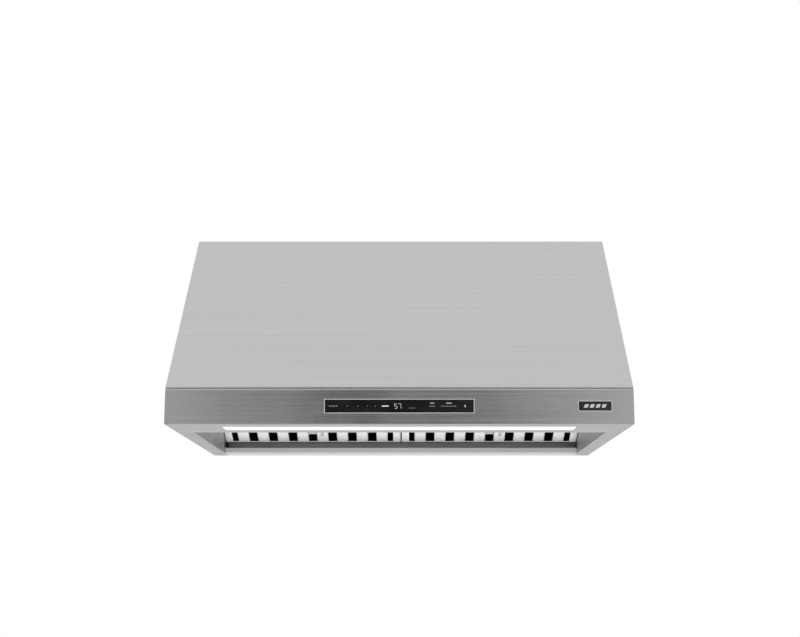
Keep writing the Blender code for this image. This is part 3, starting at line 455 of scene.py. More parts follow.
finishes = {"shell_steel": shell_steel, "inner_steel": inner_steel, "filter_steel": filter_steel,
            "zinc_plated": zinc, "black_glass": touch_glass("black_glass"),
            "lens_diffuser": glowing("lens_diffuser", (1.0, 0.995, 0.985), 0.7)}
finishes.update({name: polished(name, *row) for name, row in POLISHED.items()})
finishes.update({name: moulded(name, *row) for name, row in MOULDED.items()})
print(len(finishes), "finishes")

# %% [markdown]
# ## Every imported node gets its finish
#
# The record says which slot each node takes. The side panels are brushed front to back, so they
# take the steel whose grain runs along Y, and the tray's grain runs along the hood.

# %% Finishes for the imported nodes
own_finish = {"left_side_panel": side_steel, "right_side_panel": side_steel,
              "grease_trough": trough_steel}
for name, obj in frame["nodes"].items():
    obj.data.materials.clear()
    obj.data.materials.append(own_finish.get(name, finishes[record_slot[name]]))
print(len(frame["nodes"]), "nodes finished")

# %% [markdown]
# ## The sloped front
#
# One sheet is folded three times: a return into the top, the long slope, and a return over the
# fascia. A press brake leaves a radius of about two sheets at each fold, and that radius is what
# catches a thin bright line along the bottom of the slope. So the section gets arcs at its folds
# and is carried along X.

# %% Sloped front
RETURN = 0.014
slope_top = slope_high[1] - RETURN
slope_section = rounded([(slope_high[1], slope_high[2]), (slope_top, slope_high[2]),
                         (front, slope_low[2]), (front + RETURN, slope_low[2])], BEND)
stations = np.linspace(-half_width, half_width, 9)
thicken(piece("sloped_front", folded_sheet(slope_section, stations), shell_steel, "canopy",
              "front_slope_panel", outward=(0, -0.76, 0.65)))
print("slope section has", len(slope_section), "points")

# %% [markdown]
# ## The fascia and its window
#
# The fascia is a narrow folded band with a window for the glass. The grid gets a station at each
# edge of the window, so the window is just the cells that are left out before Solidify gives the
# sheet its thickness.

# %% Fascia
bezel_low, bezel_high = corners("control_bezel")
window_x = bezel_high[0] + GAP
window_z = (bezel_low[2] - GAP, bezel_high[2] + GAP)
fascia_top = rounded([(fascia_high[1], fascia_high[2]), (front, fascia_high[2]),
                      (front, window_z[1])], BEND)
fascia_section = [*fascia_top, (front, window_z[0]), (front, fascia_low[2])]
fascia_stations = [-half_width, -half_width / 2, -window_x, window_x, half_width / 2, half_width]
window = ((-window_x, front - RETURN, window_z[0]), (window_x, front + RETURN, window_z[1]))
thicken(piece("fascia_band", folded_sheet(fascia_section, fascia_stations, window), shell_steel,
              "canopy", "front_fascia", outward=(0, -1, 0)))
print("fascia window", round(2 * window_x * 1000), "mm wide")

# %% [markdown]
# ## The lit underside
#
# The light panel runs back from the fascia and folds up into the front wall of the capture
# recess. A long window in it holds the diffuser. The diffuser is a shallow pillow: its section is
# a rectangle with soft lower corners, and its underside is level with the panel.

# %% Light panel and diffuser
LENS_EDGE = 0.0012
ear = panel_high[0]
fold_y = front + LIGHT_PANEL_DEPTH
flat_start = [(panel_low[1], 0), (lens_low[1] - GAP, 0)]
fold = rounded([(lens_high[1] + GAP, 0), (fold_y, 0), (panel_high[1], panel_high[2])], BEND)
light_section = [*flat_start, *fold]
lens_x = lens_high[0] + GAP
light_stations = [-inner + GAP, -lens_x, -lens_x / 2, 0, lens_x / 2, lens_x, inner - GAP]
window = ((-lens_x, lens_low[1] - GAP, -RETURN), (lens_x, lens_high[1] + GAP, RETURN))
light_grid = folded_sheet(light_section, light_stations, window)
ears = [folded_sheet([(panel_low[1], 0), (fold_y, 0)], span)
        for span in ([-ear, -inner + GAP], [inner - GAP, ear])]
thicken(piece("lit_underside", together([light_grid, *ears]), shell_steel, "canopy", "light_panel",
              outward=(0, -0.2, -1)))

lens_section = rounded([(lens_low[1], lens_high[2]), (lens_low[1], lens_low[2]),
                        (lens_high[1], lens_low[2]), (lens_high[1], lens_high[2])], LENS_EDGE, 4)
ends = [lens_low[0], lens_low[0] + LENS_EDGE / 2, lens_high[0] - LENS_EDGE / 2, lens_high[0]]
lens_rings = np.stack([np.column_stack([np.full(len(lens_section), x), lens_section]) for x in ends])
piece("light_diffuser", rings(lens_rings), finishes["lens_diffuser"], "canopy", "light_lens")
print("diffuser", round(lens_high[0] * 2000), "mm long")

# %% [markdown]
# ## The rear rail
#
# Behind the filters the sheet turns up into a low lip, which hides the tray that catches the
# grease. It is one more folded sheet, so the same grid makes it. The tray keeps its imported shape.

# %% Rear rail
rail_section = rounded([(rail_low[1], rail_high[2]), (rail_low[1], 0), (rail_high[1], 0)], BEND - GAP * 2)
thicken(piece("lip_rail", folded_sheet(rail_section, [-inner + GAP, 0, inner - GAP]), rail_steel,
              "canopy", "rear_rail", outward=(0, -0.3, -1)))
print("lip", round(rail_high[2] * 1000), "mm high")

# %% [markdown]
# ## Baffle filters
#
# A baffle filter is two rows of channels set against each other. Smoke goes up through the long
# slots, turns over the caps behind them, and drops its grease on the way. Every slot's edges are
# rolled upward, which stiffens the strip and gives each one a bright line along both sides. The
# filters hang at a slope, so they are worked out flat, as (across, along, off), and then carried
# into place by the matrix of their hinge line.

# %% The slope that the filters lie on
FILTER_THICK, FILTER_WALL, FILTER_EDGE, LOW_FLANGE = 0.022, 0.001, 0.0175, 0.0045
LOW_OVERHANG = 0.005
hinge = np.array(joint_place["left_filter_swing"])
frame_low, frame_high = corners("left_filter_frame")
filter_half = (frame_high[0] - frame_low[0]) / 2


def filter_slope():
    """Tilt and reach from the low edge: v = low edge - hinge, reach^2 = |v|^2 - (thickness / 2)^2,
    and tilt = angle of v below the level - atan(thickness / 2 / reach)."""
    low_edge = np.array([rail_low[1] + LOW_OVERHANG - hinge[1], frame_low[2] - hinge[2]])
    reach = math.sqrt(low_edge @ low_edge - (FILTER_THICK / 2) ** 2)
    return math.atan2(-low_edge[1], low_edge[0]) - math.atan2(FILTER_THICK / 2, reach), reach


tilt, reach = filter_slope()
off_up = np.array([0.0, math.sin(tilt), math.cos(tilt)])
print("filters slope by", round(math.degrees(tilt), 1), "degrees and are", round(reach * 1000), "mm long")

# %% [markdown]
# The strips are one corrugated sheet. Its section runs across the filter and its stations run
# along it, with a station at every slot end, so a slot is again a set of cells that are left out.

# %% Corrugated sheets
HINGE_OFFSET, ROLL = 0.007, 0.0026
BAFFLE_SHEET, LOWER_DEPTH, UPPER_DEPTH, CAP_WIDTH = 0.0009, 0.0075, 0.0065, 0.029
SLOTS, SLOT_WIDTH, SLOT_TUCK, HIGH_BAND, LOW_BAND = 9, 0.020, 0.0071, 0.004, 0.002
TIE_PLACE, TIE_WIDTH = 0.017, 0.006

span = (HINGE_OFFSET + FILTER_WALL + GAP, reach - FILTER_WALL - GAP)
slots = (HINGE_OFFSET + FILTER_EDGE + HIGH_BAND, reach - LOW_FLANGE - LOW_BAND)
tie = (slots[1] - TIE_PLACE - TIE_WIDTH, slots[1] - TIE_PLACE)
sheet_half = filter_half - FILTER_WALL - GAP
open_half = filter_half - FILTER_EDGE + SLOT_TUCK
pitch = (2 * open_half - SLOT_WIDTH) / (SLOTS - 1)
centres = (np.arange(SLOTS) - (SLOTS - 1) / 2) * pitch
lower_level = -FILTER_THICK / 2 + FILTER_WALL + GAP
upper_base = FILTER_THICK / 2 - FILTER_WALL - GAP - UPPER_DEPTH


def ridges(width, depth, level):
    """The (across, off) section that rises over each slot's centre in turn, with rolled corners."""
    path = [(-sheet_half, level)]
    for centre in centres:
        left, right = centre - width / 2, centre + width / 2
        path += [(left, level), (left, level + depth), (right, level + depth), (right, level)]
    path.append((sheet_half, level))
    return rounded(path, ROLL, 4)


def corrugated(section, stations, wanted):
    """Carries an (across, off) section along the filter and keeps the wanted cells."""
    along, index = np.meshgrid(np.asarray(stations, float), np.arange(len(section)), indexing="ij")
    points = np.stack([section[index, 0], along, section[index, 1]], axis=-1).reshape(-1, 3)
    return kept(points, grid_faces(len(stations), len(section)), wanted)


print(SLOTS, "slots with a pitch of", round(pitch * 1000, 1), "mm")

# %% [markdown]
# Tests by place say where metal stays. The strips lose the tops of their crests, but for one
# tie across the middle slot. The caps behind them lose everything that isn't a cap.

# %% Which cells stay
EDGE_LEFT, BASE_LEFT = 0.0012, 0.0008


def between_slot_ends(middle):
    return (middle[:, 1] > slots[0]) & (middle[:, 1] < slots[1])


def on_tie(middle):
    """The crossbar of the middle slot."""
    return ((middle[:, 1] > tie[0]) & (middle[:, 1] < tie[1])
            & (np.abs(middle[:, 0]) < SLOT_WIDTH / 2))


def strip_cells(middle):
    """True where metal stays: all but the crests' tops between the slot ends, with the tie left."""
    to_slot = np.abs(middle[:, :1] - centres).min(axis=1)
    on_crest = middle[:, 2] > lower_level + LOWER_DEPTH * 0.7
    in_slot = (to_slot < SLOT_WIDTH / 2 - EDGE_LEFT) & on_crest & between_slot_ends(middle)
    return ~(in_slot & ~on_tie(middle))


def cap_cells(middle):
    """True where metal stays: the caps, and the whole sheet beyond the slot ends."""
    return ~(between_slot_ends(middle) & (middle[:, 2] < upper_base + BASE_LEFT))


lower_stations = [span[0], slots[0], *tie, slots[1], span[1]]
lower_sheet = corrugated(ridges(SLOT_WIDTH, LOWER_DEPTH, lower_level), lower_stations, strip_cells)
upper_sheet = corrugated(ridges(CAP_WIDTH, UPPER_DEPTH, upper_base), [span[0], *slots, span[1]],
                         cap_cells)
print(len(lower_sheet[1]), "cells in the strips and", len(upper_sheet[1]), "in the caps")

# %% [markdown]
# ## The filter's frame, hooks and knob
#
# The sheets are held in a channel that is bent round them and mitred at its corners. Two open hooks
# at its high end hang on a rod, so a filter swings down and then lifts off. The knob is turned and
# riveted through the strip beside the middle slot.

# %% Frame, hooks and knob
HOOK_RADIUS, ROD_RADIUS, HOOK_INSET, HOOK_HALF = 0.0065, 0.003, 0.060, 0.0015
KNOB_PLACE, AXIS_RADIUS = 0.041, 0.0001
KNOB_PROFILE = [(AXIS_RADIUS, 0.0018), (0.0021, 0.0018), (0.0021, -0.0028), (0.0034, -0.0034),
                (0.0038, -0.0042), (0.0038, -0.0062), (0.0034, -0.0071), (0.0024, -0.0075),
                (AXIS_RADIUS, -0.0075)]


def channel_frame():
    """A channel bent round a rectangle: a closed (inset, off) section at each mitred corner. An inset
    of 1 stands for the flange's edge, which is nearer to the wall along the low end."""
    half, wall = FILTER_THICK / 2, FILTER_WALL
    outer = rounded([(1, -half), (0, -half), (0, half), (1, half)], 0.0014)
    inner_path = rounded([(1, half - wall), (wall, half - wall), (wall, -half + wall), (1, -half + wall)],
                         0.0006, 3)
    inset, off = np.concatenate([outer, inner_path]).T
    wide = np.where(inset == 1, FILTER_EDGE, inset)
    narrow = np.where(inset == 1, LOW_FLANGE, inset)
    layers = []
    for x_sign, at_low_end in ((-1, False), (1, False), (1, True), (-1, True)):
        along = reach - narrow if at_low_end else HINGE_OFFSET + wide
        layers.append(np.column_stack([x_sign * (filter_half - wide), along, off]))
    return rings(layers, closed=True)


def hook(place):
    """A flat J of plate round the rod: outer arc, arm, inner arc."""
    outer = np.linspace(math.pi, 1.5 * math.pi, 10)
    inner_arc = np.linspace(2 * math.pi, math.pi, 16)
    big, small, arm = HOOK_RADIUS, ROD_RADIUS + GAP, HINGE_OFFSET + FILTER_WALL / 2
    flat = np.concatenate([np.stack([big * np.cos(outer), big * np.sin(outer)], axis=-1),
                           [(arm, -big), (arm, 0)],
                           np.stack([small * np.cos(inner_arc), small * np.sin(inner_arc)], axis=-1)])
    sides = (place - HOOK_HALF, place + HOOK_HALF)
    return rings([np.column_stack([np.full(len(flat), x), flat]) for x in sides])


hook_places = (-filter_half + HOOK_INSET, filter_half - HOOK_INSET)
frame_shape = together([channel_frame(), *[hook(place) for place in hook_places]])
knob_shape = turned(KNOB_PROFILE, 32, "Z")
print(len(frame_shape[0]), "points in a frame with its hooks")

# %% [markdown]
# ## Painted shade inside, and the two filters
#
# The strips keep their bright steel. The inside of the channel and the walls of the crests lie
# in shade, and that shade is painted on them as near black steel. So those faces, found by their place
# on the slope, take the painted shade finish. Both filters are the same shapes carried to two hinge lines.

# %% Both filters


def paint_shade_on(obj, lay, wanted):
    """Gives the faces that pass a test, by their place on the slope, the near black steel of painted shade."""
    middles = np.array([tuple(lay.inverted() @ face.center) for face in obj.data.polygons])
    obj.data.materials.append(shade_painted_steel)
    obj.data.polygons.foreach_set("material_index", wanted(middles).astype(np.int32))
    return obj


def in_crest(middle):
    """The crests between the strips, less the tie across the middle one."""
    return (middle[:, 2] > lower_level + ROLL * 0.6) & ~on_tie(middle)


def in_channel(middle):
    """The inner faces of the frame's channel."""
    clear = FILTER_WALL / 2
    across, along, off = np.abs(middle[:, 0]), middle[:, 1], np.abs(middle[:, 2])
    return ((across < filter_half - clear) & (off < FILTER_THICK / 2 - clear)
            & (along > HINGE_OFFSET + clear) & (along < reach - clear))


for side, sign in (("left", -1), ("right", 1)):
    lay = (Matrix.Translation((sign * abs(hinge[0]), hinge[1], hinge[2]))
           @ Matrix.Rotation(-tilt, 4, "X"))
    body = side + "_filter"
    # Painted shade: the caps, the crest walls and the channel's inside take near black steel in place of the shade
    # that falls in them.
    strips = piece(side + "_baffle_strips", moved(lower_sheet, lay), filter_steel, body,
                   side + "_lower_baffles", outward=-off_up)
    thicken(paint_shade_on(strips, lay, in_crest), BAFFLE_SHEET)
    thicken(piece(side + "_baffle_caps", moved(upper_sheet, lay), shade_painted_steel, body,
                  side + "_upper_baffles", outward=off_up), BAFFLE_SHEET)
    channel = piece(side + "_channel_frame", moved(frame_shape, lay), filter_steel, body,
                    side + "_filter_frame")
    soften(paint_shade_on(channel, lay, in_channel))
    knob_place = Matrix.Translation((pitch / 2, reach - KNOB_PLACE, lower_level))
    piece(side + "_pull_knob", moved(knob_shape, lay @ knob_place), finishes["knob_chrome"], body,
          side + "_filter_knob")
print("two filters hung")

# %% [markdown]
# ## The blower
#
# Open the filters and the twin blower shows: two squirrel cage wheels, one on each end of a double
# ended motor. The blades of such a wheel are short, shallow scoops that lean into the turn, pressed
# from one strip and crimped into two rims. Here a blade is an arc of a small circle, thickened and
# turned round the axle many times in one array.

# %% Blower wheels
wheel_low, wheel_high = corners("right_blower_wheel")
axle = np.array(joint_place["blower_spin"])
wheel_radius = (wheel_high[2] - wheel_low[2]) / 2
wheel_half = (wheel_high[0] - wheel_low[0]) / 2
wheel_x = (wheel_low[0] + wheel_high[0]) / 2
BLADES, BLADE_DEPTH, BLADE_SHEET, RIM, RIM_FOLD = 36, 0.0115, 0.0006, 0.0016, 0.004
HUB, HUB_HALF, CONE_WIDTH, DISC_HALF, SHAFT = 0.013, 0.012, 0.012, 0.0008, 0.004


def blades():
    """Scoops between two rims: the middle line is r = R - depth (1 - t) leaning by 0.16 sin(pi t) + 0.1 t
    radians, and each side stands half a sheet off it."""
    share = np.linspace(0, 1, 7)
    radius = wheel_radius - RIM * 0.6 - BLADE_DEPTH * (1 - share)
    lean = 0.16 * np.sin(math.pi * share) + 0.1 * share
    spread = BLADE_SHEET / 2 / radius
    radii = np.concatenate([radius, radius[::-1]])
    angles = np.concatenate([lean + spread, (lean - spread)[::-1]])
    cells = []
    for turn in np.linspace(0, 2 * math.pi, BLADES, endpoint=False):
        loop = np.stack([radii * np.cos(angles + turn), radii * np.sin(angles + turn)], axis=-1)
        cells.append(rings([np.column_stack([np.full(len(loop), x), loop])
                            for x in (-wheel_half + RIM / 2, wheel_half - RIM / 2)]))
    return together(cells)


def wheel_body():
    """Two rims, the disc between them, and the hub with its bore: each one a closed ring section."""
    rims = []
    for side in (-1, 1):
        edge = side * wheel_half
        folded, sheet_back = edge - side * RIM_FOLD, edge - side * RIM
        inner = wheel_radius - BLADE_DEPTH - 0.001
        rims.append(turned([(wheel_radius, edge), (wheel_radius, folded), (wheel_radius - RIM, folded),
                            (wheel_radius - RIM, sheet_back), (inner, sheet_back), (inner, edge)],
                           64, closed=True))
    half = [(SHAFT + GAP, HUB_HALF), (HUB, HUB_HALF), (HUB, HUB_HALF / 2), (HUB + CONE_WIDTH, DISC_HALF),
            (wheel_radius - BLADE_DEPTH * 0.6, DISC_HALF)]
    disc = turned(half + [(r, -x) for r, x in half[::-1]], 64, closed=True)
    return together([*rims, disc])


for side, sign in (("left", -1), ("right", 1)):
    spot = Matrix.Translation((sign * wheel_x, axle[1], axle[2]))
    piece(side + "_squirrel_cage", moved(together([blades(), wheel_body()]), spot), zinc, "blower_rotor",
          side + "_blower_wheel")
print(BLADES, "blades in each wheel of radius", round(wheel_radius * 1000), "mm")

# %% [markdown]
# ## The motor
#
# The motor's case is a die cast barrel with cooling fins round its middle and a domed cap at each
# end. A list of (radius, place) points gives all of it in one turn: each fin is a step out and in.

# %% Motor case
motor_low, motor_high = corners("blower_motor")
motor_half, motor_radius = motor_high[0], (motor_high[2] - motor_low[2]) / 2
FIN_STEP, FIN_DEPTH, FINS_HALF, PLAIN_HALF = 0.0045, 0.0022, 0.036, 0.0135


def motor_profile():
    """Fins: r alternates between the barrel's radius and one fin's depth less, but for a plain band
    in the middle. Caps: domes that run in to the bore."""
    edges = np.arange(-FINS_HALF, FINS_HALF + FIN_STEP / 2, FIN_STEP / 2)
    on_fin = (np.arange(len(edges)) // 2 % 2 == 0) & (np.abs(edges) >= PLAIN_HALF)
    level = np.where(on_fin, motor_radius, motor_radius - FIN_DEPTH)
    dome = [(motor_radius - 0.002, 0.0385), (motor_radius - 0.007, 0.0450),
            (motor_radius - 0.018, 0.0502), (SHAFT + 0.010, motor_half), (SHAFT + GAP, motor_half)]
    return [(r, -x) for r, x in dome[::-1]] + list(zip(level, edges)) + dome


motor_shape = turned(motor_profile(), 64, closed=True)
piece("finned_motor", moved(motor_shape, Matrix.Translation(axle.tolist())), finishes["motor_black"],
      "canopy", "blower_motor")
print("motor", round(2 * motor_half * 1000), "mm long")

# %% [markdown]
# ## Screws
#
# Sheet metal this thin is held by pan head screws with a cross recess. A head is a dome on a short
# rim; the cross is four small walls of dark space, made here by pressing the dome's middle points
# down where they fall on either arm of the cross.

# %% One pan head
CROSS_WIDTH, CROSS_LENGTH, CROSS_DEPTH = 0.13, 0.55, 0.6


def pan_head(radius=0.0038, height=0.0022, around=32):
    """Rings from rim to crown, z = h sqrt(1 - 0.8 (r / R)^2). Points on an arm of the cross sink by
    a share of h."""
    shares = np.array([1.0, 1.0, 0.9, 0.75, 0.6, 0.5, 0.42, 0.34, 0.26, 0.18, 0.1])
    angle = np.linspace(0, 2 * math.pi, around, endpoint=False)
    radii = radius * shares[:, None]
    x, y = radii * np.cos(angle), radii * np.sin(angle)
    z = np.broadcast_to(height * np.sqrt(1 - shares[:, None] ** 2 * 0.8), x.shape).copy()
    z[0] = 0
    to_side = np.minimum(np.abs(x), np.abs(y))
    to_end = np.maximum(np.abs(x), np.abs(y))
    z[(to_side < radius * CROSS_WIDTH) & (to_end < radius * CROSS_LENGTH)] -= height * CROSS_DEPTH
    return rings(np.stack([x, y, z], axis=-1))


def facing(direction):
    """A turn that points +Z along a direction."""
    return Vector(direction).to_track_quat("Z", "Y").to_matrix().to_4x4()


def screws(name, places, direction, body="canopy"):
    """One piece that holds a row of heads, all facing the same way."""
    heads = [moved(pan_head(), Matrix.Translation(place) @ facing(direction)) for place in places]
    piece(name, together(heads), finishes["spring_steel"], body, crease=50)


print(len(pan_head()[0]), "points in a screw's head")

# %% [markdown]
# The screws sit where a fitter needs them. Two rows fix the top and four the collar's flange. Others
# hold the plenum, the junction box's cover and the liners.

# %% Rows of screws
TOP_INSET, COVER_INSET, PLENUM_INSET, LINER_HEIGHT = 0.018, 0.010, 0.012, 0.016
COLLAR_CIRCLE = 0.1065
cover_low, cover_high = corners("junction_cover")
plenum_low, plenum_high = corners("outlet_plenum")
collar_low, collar_high = corners("duct_collar")
liner_low = corners("right_liner")[0]
collar_y = (collar_low[1] + collar_high[1]) / 2
cover_z = (cover_low[2] + cover_high[2]) / 2
top_y = (top_low[1] + TOP_INSET, top_high[1] - TOP_INSET)

screws("top_screws", [(x, y, top_high[2]) for x in (-0.40, -0.2, 0.2, 0.40) for y in top_y], (0, 0, 1))
screws("cover_screws", [(x, cover_low[1], cover_z)
                        for x in (cover_low[0] + COVER_INSET, cover_high[0] - COVER_INSET)], (0, -1, 0))
screws("plenum_screws", [(x, plenum_low[1], plenum_high[2] - PLENUM_INSET)
                         for x in (-0.14, -0.05, 0.05, 0.14)], (0, -1, 0))
screws("collar_screws", [(COLLAR_CIRCLE * math.cos(turn), collar_y + COLLAR_CIRCLE * math.sin(turn),
                          top_high[2]) for turn in np.radians([45, 135, 225, 315])], (0, 0, 1))
for side, sign in (("left", -1), ("right", 1)):
    screws(side + "_liner_screws", [(sign * liner_low[0], y, LINER_HEIGHT)
                                    for y in (liner_low[1] + 0.03, 0.03, 0.22)], (-sign, 0, 0))
print("screws placed")


# %% [markdown]
# ## The touch glass
#
# A flat plate of black glass sits in a thin bright bezel. Its marks are printed on the back and lit
# from behind, so they have no height to speak of. Each is a thin tile here. A display shows two
# numbers made of seven bars each; the other marks are generic: a dash, dots, bars and a chevron.

# %% Glass
PLATE_BEVEL, GLASS_CORNER = 0.0003, 0.0012


def plate(low, high, radius, steps=4):
    """A plate in the X-Z plane with rounded corners: its outline at the back and, inset by a small
    bevel, at the front."""
    low, high = np.asarray(low, float), np.asarray(high, float)
    angle = np.linspace(0, math.pi / 2, steps + 1)
    centres_xz = [(high[0] - radius, high[2] - radius), (low[0] + radius, high[2] - radius),
                  (low[0] + radius, low[2] + radius), (high[0] - radius, low[2] + radius)]
    loop = np.concatenate([np.stack([cx + radius * np.cos(angle + quarter * math.pi / 2),
                                     cz + radius * np.sin(angle + quarter * math.pi / 2)], axis=-1)
                           for quarter, (cx, cz) in enumerate(centres_xz)])
    to_middle = (low[[0, 2]] + high[[0, 2]]) / 2 - loop
    bevel = min(PLATE_BEVEL, (high[1] - low[1]) / 2)
    inset = loop + to_middle / np.linalg.norm(to_middle, axis=1)[:, None] * bevel
    layers = [(loop, high[1]), (loop, low[1] + bevel), (inset, low[1])]
    return rings([np.column_stack([flat[:, 0], np.full(len(flat), y), flat[:, 1]]) for flat, y in layers])


piece("touch_glass", plate(glass_low, glass_high, GLASS_CORNER), finishes["black_glass"], "canopy",
      "control_glass")
print("glass", round((glass_high[0] - glass_low[0]) * 1000), "mm wide")

# %% [markdown]
# Each digit is made of bars. A table gives every bar as a share of the digit's width and height.

# %% Tiles and digits
MARK_THICK, MARK_SINK, MARK_CORNER = 0.0002, 0.00002, 0.0002
mark_middle = (glass_low[2] + glass_high[2]) / 2
mark_depth = (glass_low[1] - MARK_THICK, glass_low[1] - MARK_SINK)
SEGMENTS = {"top": ((0.1, 0.9), (0.93, 1.0)), "middle": ((0.1, 0.9), (0.465, 0.535)),
            "bottom": ((0.1, 0.9), (0.0, 0.07)), "upper_left": ((0.0, 0.12), (0.52, 0.95)),
            "upper_right": ((0.88, 1.0), (0.52, 0.95)), "lower_right": ((0.88, 1.0), (0.05, 0.48))}


def tile(x_span, z_span):
    """A flat mark on the glass, given about the glass's middle height."""
    return plate((x_span[0], mark_depth[0], mark_middle + z_span[0]),
                 (x_span[1], mark_depth[1], mark_middle + z_span[1]), MARK_CORNER, 2)


def digit(left, names, width=0.0056, height=0.0098):
    """The named bars of a digit: x = left + share * width, z = (share - 1/2) * height."""
    bars = []
    for name in names:
        (x0, x1), (z0, z1) = SEGMENTS[name]
        bars.append(tile((left + x0 * width, left + x1 * width),
                         ((z0 - 0.5) * height, (z1 - 0.5) * height)))
    return bars


five = digit(-0.0098, ["top", "upper_left", "middle", "lower_right", "bottom"])
seven = digit(-0.0022, ["top", "upper_right", "lower_right"])
print(len(five), "bars in one digit and", len(seven), "in the other")

# %% [markdown]
# The rest are rows of equal marks, so a row takes a start, a step and a count. The display, two
# captions and the chevron are lit more strongly than the others.

# %% Rows of marks
DOT = 0.0008


def row(first, step, count, length, z_span):
    """Equal marks in a row: x = first + i * step."""
    return [tile((first + i * step, first + i * step + length), z_span) for i in range(count)]


def chevron(x, size=0.0028, width=0.0007):
    """Two strokes that meet at a point on the left."""
    outer = [(x, 0), (x + size, size), (x + size + width, size - width), (x + 2 * width, 0),
             (x + size + width, -size + width), (x + size, -size)]
    return rings([[(a, y, mark_middle + b) for a, b in outer] for y in mark_depth[::-1]])


lit_white = glowing("lit_white", (0.62, 0.64, 0.66), 0.30, patch=300.0)
lit_faint = glowing("lit_faint", (0.20, 0.21, 0.22), 0.08, patch=300.0)
bright_marks = [tile((-0.034, -0.0205), (-0.0010, 0.0010)), *five, *seven,
                tile((0.0605, 0.0680), (0.0052, 0.0062)), tile((0.0910, 0.1020), (0.0052, 0.0062))]
faint_marks = row(-0.137, 0.0045, 4, 0.0030, (-0.0010, 0.0010))
faint_marks += [tile((x - DOT, x + DOT), (-DOT, DOT)) for x in (-0.101, -0.081, -0.062, -0.0465)]
faint_marks += row(0.0190, 0.0045, 3, 0.0030, (-0.0045, -0.0033))
faint_marks += row(0.0585, 0.0040, 3, 0.0027, (-0.0010, 0.0006))
faint_marks += row(0.0815, 0.0052, 6, 0.0035, (-0.0010, 0.0006))
piece("lit_marks", together([*bright_marks, chevron(0.1262)]), lit_white, "canopy")
piece("faint_marks", together(faint_marks), lit_faint, "canopy")
print(len(bright_marks), "bright marks and", len(faint_marks), "faint ones")

# %% [markdown]
# ## The bezel and the badge
#
# Both are small frames: a hoop with a closed rectangular section carried round four corners. The
# badge is a black plate inside a satin rim, with a plain device of four slanted bars.

# %% Bezel and badge


def hoop(low, high, width, soft=0.0003):
    """A picture frame in the X-Z plane: its section is a rectangle with two broken front edges."""
    near, far = low[1], high[1]
    section = [(0, far), (0, near + soft), (soft, near), (width - soft, near), (width, near + soft),
               (width, far)]
    layers = []
    for x_side, z_side in ((0, 0), (1, 0), (1, 1), (0, 1)):
        layers.append([((high[0] - inset) if x_side else (low[0] + inset), y,
                        (high[2] - inset) if z_side else (low[2] + inset)) for inset, y in section])
    return rings(layers, closed=True)


BEZEL_WIDTH, BADGE_RIM, BADGE_SINK, BADGE_CORNER = 0.0016, 0.0012, 0.0005, 0.0004
piece("glass_bezel", hoop(bezel_low, bezel_high, BEZEL_WIDTH), finishes["bezel_chrome"], "canopy",
      "control_bezel")

badge_low, badge_high = corners("badge_plate")
badge_face = badge_low[1] + BADGE_SINK
piece("badge_rim", hoop(badge_low, badge_high, BADGE_RIM), finishes["bezel_chrome"], "canopy")
face_low = (badge_low[0] + BADGE_RIM, badge_face, badge_low[2] + BADGE_RIM)
face_high = (badge_high[0] - BADGE_RIM, badge_high[1], badge_high[2] - BADGE_RIM)
piece("badge_face", plate(face_low, face_high, BADGE_CORNER), finishes["badge_black"], "canopy",
      "badge_plate")


def slanted_bar(x, z, length=0.0075, height=0.0068, slant=0.0030):
    """A flat parallelogram raised from the badge's face."""
    flat = [(x, z), (x + length, z), (x + length + slant, z + height), (x + slant, z + height)]
    return rings([[(a, y, b) for a, b in flat] for y in (badge_face - MARK_SINK, badge_low[1] + 0.0001)])


FIRST_BAR, BAR_STEP, BAR_FOOT = -0.0225, 0.0115, -0.0034
badge_x, badge_z = (badge_low[0] + badge_high[0]) / 2, (badge_low[2] + badge_high[2]) / 2
bars = [slanted_bar(badge_x + FIRST_BAR + i * BAR_STEP, badge_z + BAR_FOOT) for i in range(4)]
piece("badge_device", together(bars), finishes["bezel_chrome"], "canopy")
print("badge", round((badge_high[0] - badge_low[0]) * 1000), "mm wide")

# %% [markdown]
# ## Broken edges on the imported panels
#
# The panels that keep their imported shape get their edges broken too. No real sheet has a perfectly
# sharp edge, and the thin highlight along it is what tells the eye that it is metal.

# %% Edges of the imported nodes
PACKED_BEVEL = 0.00015
shown = [obj for obj in frame["nodes"].values() if not obj.hide_render]
for obj in shown:
    soften(obj, PACKED_BEVEL)
print(len(shown), "packed nodes with broken edges")

# %% [markdown]
# ## The studio
#
# Bright steel shows its surroundings more than its own colour, so the surroundings are what has
# to be planned. The slope faces up and mirrors the ceiling; the fascia mirrors the room ahead.
# The world is therefore a set of soft lobes by direction: a bright ceiling that fades towards the
# horizon, a darker patch straight ahead, and a pale floor below. The camera itself sees plain white.

# %% World
HORIZON, CEILING, GROUND = 0.86, 0.84, 0.50
DARK_PATCH, PATCH_WIDTH, PATCH_SHIFT = 0.93, 0.30, 0.022


